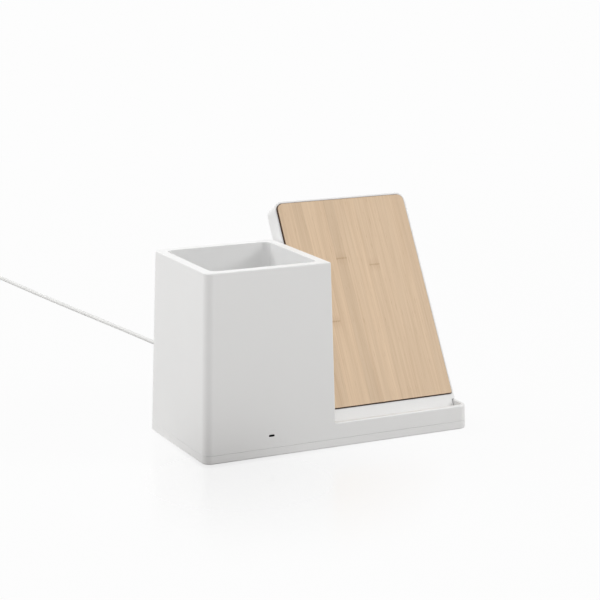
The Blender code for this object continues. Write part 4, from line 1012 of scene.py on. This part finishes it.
@dataclass
class Backrest:
    """The leaning slab with the bamboo plate in front and a flat cover behind."""

    layout: Layout
    recess_round: float = 0.0002
    corner_angle: float = 55.0
    face_slack: float = 0.0001
    plate_face: float = 0.95

    def build(self, nodes: dict[str, Thing], plastic: Material) -> None:
        """Softens the slab and dresses its rear cover.

        Args:
            nodes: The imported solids.
            plastic: Their material.
        """
        skin = Skin.of_solid(nodes["backrest_housing"])
        skin.bevel(skin.sharp(self.in_front, self.corner_angle), self.recess_round, 2)
        skin.finish("backrest_skin", [plastic], Body.HOLDER, "white_satin", ["backrest_housing"])
        cover = Skin.of_solid(nodes["backrest_rear_cover"])
        cover.finish("backrest_rear_skin", [plastic], Body.HOLDER, "white_satin", ["backrest_rear_cover"])

    def in_front(self, edge: Edge) -> bool:
        """Whether an edge lies in the plane of the slab's front face."""
        inverse = self.layout.backrest_frame.inverted()
        return all(abs((inverse @ vert.co).y) < self.face_slack for vert in edge.verts)

    def build_plate(self, node: Thing, bamboo: Material, burnt: Material) -> None:
        """Dresses the bamboo plate, with its cut edges burnt.

        Args:
            node: The plate's solid.
            bamboo: The face's material.
            burnt: The edges' material.
        """
        forward = self.layout.forward
        skin = Skin.of_solid(node)
        skin.paint(1, lambda face: face.normal.dot(forward) < self.plate_face)
        skin.finish("bamboo_plate_grained", [bamboo, burnt], Body.HOLDER, "bamboo", ["bamboo_plate"])


# Cable


@dataclass
class SupplyPlug:
    """The plug for the power supply: its grip, its metal shell and the tongue with four contacts inside."""

    grip: Point = (0.0154, 0.022, 0.0078)
    grip_round: float = 0.0018
    rear_round: float = 0.0012
    front_round: float = 0.0004
    shell: Point = (0.012, 0.0118, 0.0045)
    shell_round: float = 0.0005
    wall: float = 0.0003
    room_start: float = 0.002
    window_x: float = 0.003
    window_half: float = 0.0011
    window_y: tuple[float, float] = (0.0048, 0.0072)
    tongue_y: tuple[float, float] = (0.0021, 0.0112)
    tongue_height: float = 0.0019
    tongue_round: float = 0.0002
    clearance: float = 0.0001
    pins: int = 4
    pin_pitch: float = 0.0023
    pin_half: float = 0.0006
    pin_y: tuple[float, float] = (0.003, 0.0106)
    pin_stand: float = 0.0001

    def build(self, frame: Matrix, finishes: dict[str, Material]) -> list[Thing]:
        """Models the plug, which points along +Y from the end where the lead comes in.

        Args:
            frame: The move that puts it in its place.
            finishes: The materials by their names.

        Returns:
            Its pieces.
        """
        jacket, nickel = finishes["cable_jacket"], finishes["plug_nickel"]
        inside = [finishes["ivory_nylon"], finishes["contact_gold"]]
        shapes = (self.grip_shape(), self.shell_shape(), self.tongue_shape())
        grip, shell, tongue = (shape.moved(frame) for shape in shapes)
        return [
            grip.finish("supply_grip_skin", [jacket], Body.CABLE, "white_jacket", ["supply_plug_grip"]),
            shell.finish("supply_shell_skin", [nickel], Body.CABLE, "plug_steel", ["supply_plug_shell"]),
            tongue.finish("supply_plug_tongue", inside, Body.CABLE, "ivory_plastic"),
        ]

    @property
    def near(self) -> float:
        """Where the shell starts, in front of the grip."""
        return self.grip[1] + GAP

    def grip_shape(self) -> Skin:
        """The grip, rounded most along its length and at its rear end.

        Returns:
            The grip.
        """
        width, length, height = self.grip
        grip = Skin.block((-width / 2, 0, -height / 2), (width / 2, length, height / 2))
        grip.bevel(grip.along(1), self.grip_round, 6)
        grip.bevel(grip.facing(Vector((0, -1, 0))), self.rear_round, 4)
        grip.bevel(grip.facing(Vector((0, 1, 0))), self.front_round, 2)
        return grip

    def shell_shape(self) -> Skin:
        """The metal shell, open in front, with two windows in its upper wall.

        Returns:
            The shell.
        """
        (width, reach, height), near, wall = self.shell, self.near, self.wall
        shell = Skin.block((-width / 2, near, -height / 2), (width / 2, near + reach, height / 2))
        shell.bevel(shell.along(1), self.shell_round, 4)
        low = (-width / 2 + wall, near + self.room_start, -height / 2 + wall)
        shell = shell.cut(Skin.block(low, (width / 2 - wall, near + reach * 2, height / 2 - wall)))
        start, end = (near + y for y in self.window_y)
        for x in (-self.window_x, self.window_x):
            half = self.window_half
            shell = shell.cut(Skin.block((x - half, start, 0), (x + half, end, height)))
        return shell

    def tongue_shape(self) -> Skin:
        """The tongue with its contacts, which take the piece's second material.

        Returns:
            The tongue.
        """
        (width, _, height), near, inset = self.shell, self.near, self.wall + self.clearance
        floor = -height / 2 + inset
        top = floor + self.tongue_height
        start, end = (near + y for y in self.tongue_y)
        tongue = Skin.block((-width / 2 + inset, start, floor), (width / 2 - inset, end, top))
        tongue.bevel(tongue.facing(Vector((0, 1, 0))), self.tongue_round, 2)
        start, end = (near + y for y in self.pin_y)
        for number in range(self.pins):
            x = (number - (self.pins - 1) / 2) * self.pin_pitch
            low = (x - self.pin_half, start, top - self.pin_stand)
            pin = Skin.block(low, (x + self.pin_half, end, top + self.pin_stand))
            pin.paint(1, lambda face: True)
            tongue.join(pin)
        return tongue


@dataclass
class Cable:
    """The thin round lead: its route, the wound length, its two plugs and the tie."""

    supply: SupplyPlug = field(default_factory=SupplyPlug)
    radius: float = 0.00125
    route: Sequence[Point] = (
        (0.0060, 0.0584, 0.00905), (0.0060, 0.0680, 0.00895), (0.0059, 0.0820, 0.00700),
        (0.0053, 0.1000, 0.00360), (0.0037, 0.1200, 0.00170), (0.0014, 0.1450, 0.00126),
        (-0.0016, 0.1740, 0.00125), (-0.0050, 0.2020, 0.00125), (-0.0091, 0.2370, 0.00125),
        (-0.0136, 0.2720, 0.00125), (-0.0182, 0.3070, 0.00125), (-0.0227, 0.3430, 0.00125),
        (-0.0270, 0.3800, 0.00125), (-0.0319, 0.4260, 0.00125), (-0.0353, 0.4580, 0.00180),
        (-0.0363, 0.4680, 0.00220), (-0.0370, 0.4740, 0.00240),
    )
    spacing: float = 0.003
    fine_steps: int = 24
    turn_radius: float = 0.015
    pitch: float = 0.0033
    layers: int = 4
    layer_turns: float = 2.5
    steps: int = 48
    tail_length: float = 0.036
    tail_shape: Sequence[Point] = (
        (0, 0, 0), (0.15, 0, 0), (0.4, 0.3, 0.02), (0.65, 0.8, 0.03), (0.85, 1, 0.02), (1, 1, 0),
    )
    relief_gap: float = 0.00032
    relief_length: float = 0.01
    relief_radius: float = 0.0023
    relief_tip_radius: float = 0.0017
    relief_base_share: float = 0.94
    relief_tip_share: float = 0.9
    relief_ribs: int = 5
    rib_steps: int = 8
    relief_steps: int = 40
    relief_groove: float = 0.00035
    tie_width: float = 0.005
    tie_thickness: float = 0.0008
    tie_clearance: float = 0.00035
    tie_round: float = 0.0028
    tie_segments: int = 8
    tie_edge_angle: float = 60.0
    tie_edge_share: float = 0.3
    grip_round: float = 0.0003
    grip_angle: float = 55.0

    def smooth(self, knots: Sequence[Sequence[float]]) -> list[Vector]:
        """Points at an even spacing on a smooth curve through a route's own points.

        Args:
            knots: The route's points.

        Returns:
            The new points.
        """
        line = [Vector(knot) for knot in knots]
        line = [line[0] * 2 - line[1]] + line + [line[-1] * 2 - line[-2]]
        fine = []
        for before, start, end, after in zip(line, line[1:], line[2:], line[3:]):
            for step in range(self.fine_steps):
                share = step / self.fine_steps
                bend = (before * -1 + start * 3 - end * 3 + after) * share**3
                bend += (before * 2 - start * 5 + end * 4 - after) * share**2
                bend += (end - before) * share
                fine.append(start + bend / 2)
        fine.append(line[-2])
        runs = [0.0]
        for first, second in zip(fine, fine[1:]):
            runs.append(runs[-1] + (second - first).length)
        count = max(2, round(runs[-1] / self.spacing))
        points, index = [], 0
        for step in range(count + 1):
            station = runs[-1] * step / count
            while index < len(runs) - 2 and runs[index + 1] < station:
                index += 1
            share = (station - runs[index]) / (runs[index + 1] - runs[index])
            points.append(fine[index].lerp(fine[index + 1], min(1.0, share)))
        return points

    def wind(self, start: Vector, heading: Vector) -> tuple[list[Vector], Vector, Vector]:
        """The wound length: layers that spiral in and out and climb where the spiral turns back.

        Args:
            start: Where the loose run ends.
            heading: Which way it points there.

        Returns:
            The points, the middle of the winding and the way in which its end leaves.
        """
        half_width = self.pitch * self.layer_turns / 2
        inner, outer = self.turn_radius - half_width, self.turn_radius + half_width
        centre = start + heading * self.radius * 2 + Vector((-heading.y, heading.x, 0)) * outer
        angle = math.atan2(-heading.x, heading.y)
        points = [start]
        for layer in range(self.layers):
            level = start.z + self.pitch * layer
            ends = (outer, inner) if layer % 2 == 0 else (inner, outer)
            count = round(self.layer_turns * self.steps)
            for step in range(count + 1):
                share = step / count
                radius = ends[0] + (ends[1] - ends[0]) * share
                turn = angle + math.tau * self.layer_turns * share
                points.append(self.on_turn(centre, radius, turn, level))
            angle += math.tau * self.layer_turns
            if layer < self.layers - 1:
                for step in range(1, self.steps // 2):
                    share = step / (self.steps // 2)
                    height = level + self.pitch * share
                    points.append(self.on_turn(centre, ends[1], angle + math.pi * share, height))
                angle += math.pi
        away = Vector((-math.sin(angle), math.cos(angle), 0))
        points.append(points[-1] + away * self.radius * 2)
        return points, centre, away

    @staticmethod
    def on_turn(centre: Vector, radius: float, angle: float, height: float) -> Vector:
        """A point on a turn of the winding."""
        return Vector((centre.x + radius * math.cos(angle), centre.y + radius * math.sin(angle), height))

    def tail(self, start: Vector, away: Vector) -> list[Vector]:
        """The end that comes down from the winding to the height of the supply plug.

        Args:
            start: Where the winding ends.
            away: Which way it points there.

        Returns:
            The points.
        """
        side = Vector((-away.y, away.x, 0))
        drop = self.supply.grip[2] / 2 - start.z
        knots = []
        for along, fallen, swayed in self.tail_shape:
            knot = start + away * (self.tail_length * along) + Vector((0, 0, drop * fallen))
            knots.append(knot - side * (self.tail_length * swayed))
        return self.smooth(knots)

    def build(self, nodes: dict[str, Thing], finishes: dict[str, Material]) -> None:
        """Lays the lead, and puts its plugs, reliefs and tie on it.

        Args:
            nodes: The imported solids.
            finishes: The materials by their names.
        """
        jacket = finishes["cable_jacket"]
        run = self.smooth(self.route)
        heading = run[-1] - run[-2]
        heading.z = 0
        heading.normalize()
        wound, centre, away = self.wind(run[-1] + heading * GAP, heading)
        tail = self.tail(wound[-1] + away * GAP, away)
        line = run + wound + tail
        lead = self.tube("cable_lead", line, jacket)
        register(lead, Body.CABLE, ["cable_run", "cable_coil", "cable_tail"])

        near = Vector(self.route[0]) - Vector((0, self.relief_gap + self.relief_length, 0))
        far = tail[-1] + away * (self.relief_length + GAP)
        turn = Matrix.Rotation(math.atan2(-away.x, away.y), 4, "Z")
        pieces = [
            self.relief("strain_relief", near, Vector((0, 1, 0)), jacket),
            self.relief("supply_strain_relief", far, -away, jacket),
            self.band(centre, wound[0].z, finishes["hook_tape"]),
            *self.supply.build(Matrix.Translation(far + away * GAP) @ turn, finishes),
        ]
        grip = Skin.of_solid(nodes["plug_grip"])
        grip.bevel(grip.sharp(lambda edge: True, self.grip_angle), self.grip_round, 2)
        pieces.append(grip.finish("plug_grip_skin", [jacket], Body.CABLE, "white_jacket", ["plug_grip"]))
        shell, nickel = Skin.of_solid(nodes["plug_shell"]), finishes["plug_nickel"]
        pieces.append(shell.finish("plug_shell_skin", [nickel], Body.CABLE, "plug_steel", ["plug_shell"]))

    def tube(self, name: str, points: Sequence[Vector], material: Material) -> Thing:
        """A round tube along points.

        Args:
            name: Its name.
            points: The points of its middle line.
            material: Its material.

        Returns:
            The curve object.
        """
        curve = bpy.data.curves.new(name, "CURVE")
        curve.dimensions = "3D"
        curve.bevel_depth = self.radius
        curve.bevel_resolution = 5
        curve.use_fill_caps = True
        spline = curve.splines.new("POLY")
        spline.points.add(len(points) - 1)
        for point, spot in zip(spline.points, points):
            point.co = (*spot, 1.0)
        spline.use_smooth = True
        curve.materials.append(material)
        return shown(name, curve)

    def relief(self, node: str, start: Vector, way: Vector, material: Material) -> Thing:
        """A tapered relief with rounded ribs.

        Args:
            node: The solid that it replaces.
            start: The middle of its thick end.
            way: Which way it narrows.
            material: Its material.

        Returns:
            The piece.
        """
        profile = [(0, 0), (self.relief_radius * self.relief_base_share, 0)]
        count = self.relief_ribs * self.rib_steps
        for number in range(1, count):
            share = number / count
            radius = self.relief_radius + (self.relief_tip_radius - self.relief_radius) * share
            wave = (1 - math.cos(math.tau * self.relief_ribs * share)) / 2
            profile.append((radius - self.relief_groove * (1 - wave) ** 2, self.relief_length * share))
        tip = self.relief_tip_radius * self.relief_tip_share
        profile += [(tip, self.relief_length), (0, self.relief_length)]
        skin = Skin.turned(profile, self.relief_steps).moved(stood(start, way))
        return skin.finish(f"{node}_ribbed", [material], Body.CABLE, "white_jacket", [node])

    def band(self, centre: Vector, low_z: float, tape: Material) -> Thing:
        """A flat band of tape round the wound length.

        Args:
            centre: The middle of the winding.
            low_z: The height of its lowest turns.
            tape: The band's material.

        Returns:
            The piece.
        """
        half = self.pitch * self.layer_turns / 2 + self.radius + self.tie_clearance
        base = low_z - self.radius - self.tie_clearance
        top = low_z + self.pitch * (self.layers - 1) + self.radius + self.tie_clearance
        thick = self.tie_thickness
        low = Vector((-self.tie_width / 2, self.turn_radius - half, base))
        high = Vector((self.tie_width / 2, self.turn_radius + half, top))
        grown, over = Vector((0, thick, thick)), Vector((thick, 0, 0))
        outer = Skin.block(low - grown, high + grown)
        outer.bevel(outer.along(0), self.tie_round, self.tie_segments)
        inner = Skin.block(low - over, high + over)
        inner.bevel(inner.along(0), self.tie_round - thick, self.tie_segments)
        band = outer.cut(inner)
        edges = band.sharp(lambda edge: True, self.tie_edge_angle)
        band.bevel(edges, thick * self.tie_edge_share, 2)
        band.moved(Matrix.Translation((centre.x, centre.y, 0)))
        return band.finish("cable_tie_band", [tape], Body.CABLE, "tie_fabric", ["cable_tie"])


# Inner pieces


@dataclass
class InnerPieces:
    """The pieces that the housings hide, which keep their solids and take their finishes."""

    finish_of: dict[str, tuple[str, ...]] = field(
        default_factory=lambda: {
            "enamelled_strand": ("charging_coil",),
            "pressed_ferrite": ("ferrite_sheet", "power_inductor"),
            "grey_abs": ("coil_carrier", "thermistor"),
            "black_epoxy_and_slot_shade": ("coil_lead", "controller_chip"),
            "solder_mask": ("circuit_board",),
            "ivory_nylon": ("coil_connector", "status_led"),
            "tinned_ceramic": tuple(f"filter_capacitor_{number}" for number in range(1, 5)),
            "smoked_acrylic": ("light_pipe",),
            "plug_nickel": ("usb_socket",),
        }
    )

    def dress(self, nodes: dict[str, Thing], finishes: dict[str, Material]) -> None:
        """Gives each inner piece its finish.

        Args:
            nodes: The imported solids.
            finishes: The materials by their names.
        """
        for finish, names in self.finish_of.items():
            for name in names:
                materials = nodes[name].data.materials
                materials.clear()
                materials.append(finishes[finish])
                LOG.info("solid %s takes %s", name, finish)


# Studio


@dataclass
class Studio:
    """The pale floor, the soft lamps, the white surroundings and the camera."""

    white: float = 0.982
    ambient: float = 0.3
    floor_half: float = 12.0
    floor_bounce: Colour = (0.56, 0.55, 0.54)
    # Painted shade: a near-black patch in the colour that the floor throws back onto the holder, round the
    # cup's front-left foot, which darkens the lower part of the cup's front and left faces.
    painted_floor_shade: Colour = (0.08, 0.065, 0.055)
    painted_floor_shade_centre: Point = (-0.074, -0.046, 0.0)
    painted_floor_shade_reach: float = 0.064
    floor_grey: Colour = (0.86, 0.86, 0.86)
    floor_shadow: float = 0.06
    floor_shadow_reach: float = 1.0
    floor_gloss_roughness: float = 0.22
    floor_gloss_index: float = 1.45
    floor_gloss_centre: Point = (-0.07, -0.07, 0.0)
    floor_gloss_reach: float = 0.125
    floor_grain_scale: float = 900.0
    floor_grain_depth: float = 0.00001
    camera_place: Point = (-0.42820, -0.85506, 0.28505)
    camera_turn: Point = (77.2516, -0.1960, -26.3692)
    camera_clip: tuple[float, float] = (0.05, 40.0)
    lens: float = 113.161
    sensor: float = 36.0
    lamp_target: Point = (0, 0, 0.05)
    lamps: Sequence[tuple[str, float, float, Point]] = (
        ("lamp_above", 7.5, 1.6, (-0.3, 0.0, 2.0)),
        ("lamp_rear_left", 21.5, 1.4, (-1.0, 1.2, 1.6)),
        ("lamp_left", 6.9, 1.2, (-1.7, 0.35, 0.8)),
        ("lamp_front_left", 7.5, 1.0, (-0.9, -1.7, 0.9)),
        ("lamp_front_right", 18.3, 0.9, (1.5, -0.9, 1.1)),
    )

    def build(self) -> None:
        """Sets everything up."""
        self.build_camera()
        self.build_world()
        self.build_floor()
        for name, power, size, place in self.lamps:
            self.hang_lamp(name, power, size, place)

    def build_camera(self) -> None:
        """Puts the camera at the picture's viewpoint."""
        data = bpy.data.cameras.new("camera")
        data.sensor_fit = "AUTO"
        data.sensor_width = self.sensor
        data.lens = self.lens
        data.clip_start, data.clip_end = self.camera_clip
        camera = shown("camera", data)
        camera.location = self.camera_place
        camera.rotation_euler = tuple(math.radians(angle) for angle in self.camera_turn)
        bpy.context.scene.camera = camera

    def build_world(self) -> None:
        """Lights the room evenly, and shows white to the camera and in reflections."""
        world = bpy.data.worlds.new("surroundings")
        bpy.context.scene.world = world
        bench = Bench(world)
        bench.tree.nodes.clear()
        lit = bench.node("Background", {"Color": WHITE, "Strength": self.ambient})
        bright = bench.node("Background", {"Color": WHITE, "Strength": self.white})
        bench.node("OutputWorld", {0: bench.blend(self.seen(bench), lit, bright).outputs[0]})

    @staticmethod
    def seen(bench: Bench) -> Socket:
        """A value that is 1 for what the camera sees, straight or in metal and glass, and 0 for lighting.

        Args:
            bench: The node tree.

        Returns:
            The value.
        """
        rays = bench.node("LightPath").outputs
        seen = bench.math("MAXIMUM", rays["Is Camera Ray"], rays["Is Glossy Ray"])
        return bench.math("MAXIMUM", seen, rays["Is Transmission Ray"])

    @staticmethod
    def nearness(bench: Bench, centre: Point, reach: float) -> Socket:
        """A value that falls smoothly from 1 at a spot on the floor to 0 at a distance from it.

        Args:
            bench: The node tree.
            centre: The spot.
            reach: The distance.

        Returns:
            The value.
        """
        place = bench.node("NewGeometry").outputs["Position"]
        apart = bench.node("VectorMath", {0: place, 1: centre}, operation="DISTANCE").outputs["Value"]
        inputs = {"Value": apart, "From Max": reach, "To Min": 1.0, "To Max": 0.0}
        return bench.node("MapRange", inputs, interpolation_type="SMOOTHSTEP").outputs["Result"]

    def build_floor(self) -> Thing:
        """Lays a pale floor that shows white, with the object's faint shadow and reflection on it, and a
        patch of painted shade in the light that it throws back.

        Returns:
            The floor.
        """
        bm = bmesh.new()
        bmesh.ops.create_grid(bm, x_segments=1, y_segments=1, size=self.floor_half)
        mesh = written(bm, "floor")
        mesh.materials.append(self.floor_material())
        return shown("floor", mesh)

    def floor_material(self) -> Material:
        """White to the camera, and to everything else a pale surface with a near-black patch of painted shade
        by the cup's front-left foot.

        Returns:
            The material.
        """
        bench = Bench(bpy.data.materials.new("pale_floor"))
        bench.tree.nodes.clear()
        # Painted shade: near the cup's front-left foot the bounce colour turns near-black, so the cup's lower
        # faces render darker.
        painted_shade_share = self.nearness(bench, self.painted_floor_shade_centre, self.painted_floor_shade_reach)
        bounce = bench.node("BsdfDiffuse", {"Color": bench.mix(painted_shade_share, self.floor_bounce, self.painted_floor_shade)})
        shade = bench.node("BsdfDiffuse", {"Color": self.floor_grey})
        shine = bench.node("Emission", {"Color": WHITE, "Strength": self.white})
        around = self.nearness(bench, (0, 0, 0), self.floor_shadow_reach)
        plain = bench.blend(bench.math("MULTIPLY", around, self.floor_shadow), shine, shade)
        grain = bench.node("TexNoise", {"Scale": self.floor_grain_scale}).outputs["Fac"]
        inputs = {"Color": WHITE, "Roughness": self.floor_gloss_roughness}
        inputs["Normal"] = bench.relief(grain, self.floor_grain_depth)
        gloss = bench.node("BsdfGlossy", inputs)
        fresnel = bench.node("Fresnel", {"IOR": self.floor_gloss_index}).outputs[0]
        close = self.nearness(bench, self.floor_gloss_centre, self.floor_gloss_reach)
        polished = bench.blend(bench.math("MULTIPLY", fresnel, close), plain, gloss)
        bench.node("OutputMaterial", {0: bench.blend(self.seen(bench), bounce, polished).outputs[0]})
        return bench.owner

    def hang_lamp(self, name: str, power: float, size: float, place: Point) -> None:
        """A soft square lamp that points at the holder.

        Args:
            name: The lamp's name.
            power: Its power in watts.
            size: Its side.
            place: Where it hangs.
        """
        data = bpy.data.lights.new(name, "AREA")
        data.energy = power
        data.size = size
        lamp = shown(name, data)
        lamp.location = place
        aim = Vector(self.lamp_target) - Vector(place)
        lamp.rotation_euler = aim.to_track_quat("-Z", "Y").to_euler()
        lamp.visible_camera = False


def make_finishes(layout: Layout) -> dict[str, Material]:
    """Makes every material.

    Args:
        layout: The holder's levels and planes.

    Returns:
        The materials by their names.
    """
    low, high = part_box("filter_capacitor_1")
    ceramic = {"speckle": (0.7, 0.6, 0.5), "speckle_share": 0.3, "middle": (low.y + high.y) / 2}
    burnt = {"speckle": (0.16, 0.085, 0.04), "speckle_share": 0.8, "speckle_span": (0.45, 0.7)}
    burnt |= {"scale": 3200.0, "layers": 3.0, "depth": 0.00003}
    recipes = (
        Moulded("white_satin_abs", (0.83, 0.83, 0.825), 0.42),
        Bamboo("bamboo_face", (0.7, 0.525, 0.355), 0.5, layout.lean, layout.backrest_foot),
        Speckled("bamboo_burnt_edge", (0.055, 0.025, 0.012), 0.7, **burnt),
        Moulded("rubber_grey", (0.3, 0.3, 0.3), 0.8, 0.05, 2200.0, 0.00004),
        Metal("screw_zinc", (0.66, 0.66, 0.67), 0.32),
        Metal("plug_nickel", (0.75, 0.75, 0.76), 0.22, (1, 12, 1)),
        Metal("contact_gold", (0.86, 0.62, 0.25), 0.25),
        Strand("enamelled_strand", (0.6, 0.28, 0.12), 0.35),
        Speckled("pressed_ferrite", (0.05, 0.05, 0.055), 0.6),
        Moulded("grey_abs", (0.35, 0.35, 0.36), 0.5),
        # Real epoxy on the chips and the coil lead; also painted as shade on the lamp slot's inner walls.
        Speckled("black_epoxy_and_slot_shade", (0.03, 0.03, 0.03), 0.5, (0.12, 0.12, 0.12)),
        Moulded("ivory_nylon", (0.78, 0.74, 0.63), 0.45),
        Clear("smoked_acrylic", (0.1, 0.1, 0.105), 0.12),
        TinnedCeramic("tinned_ceramic", (0.5, 0.36, 0.24), 0.5, **ceramic),
        SolderMask("solder_mask", (0.015, 0.17, 0.07), 0.3),
        Moulded("cable_jacket", (0.73, 0.73, 0.72), 0.48, 0.02, 2600.0, 0.00002),
        WovenTape("hook_tape", (0.035, 0.035, 0.035), 0.9),
    )
    return {recipe.name: recipe.build() for recipe in recipes}


def main() -> None:
    """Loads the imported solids, dresses them and lights them."""
    logging.basicConfig(level=logging.INFO, format="%(message)s")
    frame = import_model()
    nodes = frame["nodes"]
    layout = Layout()
    Studio().build()
    bpy.context.scene.view_settings.view_transform = "Standard"
    finishes = make_finishes(layout)
    white = finishes["white_satin_abs"]
    Cable().build(nodes, finishes)
    # The near-black epoxy finish paints shade on the lamp slot's inner walls.
    HousingMoulding(layout).build(nodes["housing"], white, finishes["black_epoxy_and_slot_shade"])
    cover = BaseCover(layout)
    cover.build(nodes["base_cover"], white)
    cover.build_feet(finishes["rubber_grey"])
    backrest = Backrest(layout)
    backrest.build(nodes, white)
    backrest.build_plate(nodes["bamboo_plate"], finishes["bamboo_face"], finishes["bamboo_burnt_edge"])
    InnerPieces().dress(nodes, finishes)
    Screws(layout).build(finishes["screw_zinc"])


if __name__ == "__main__":
    main()
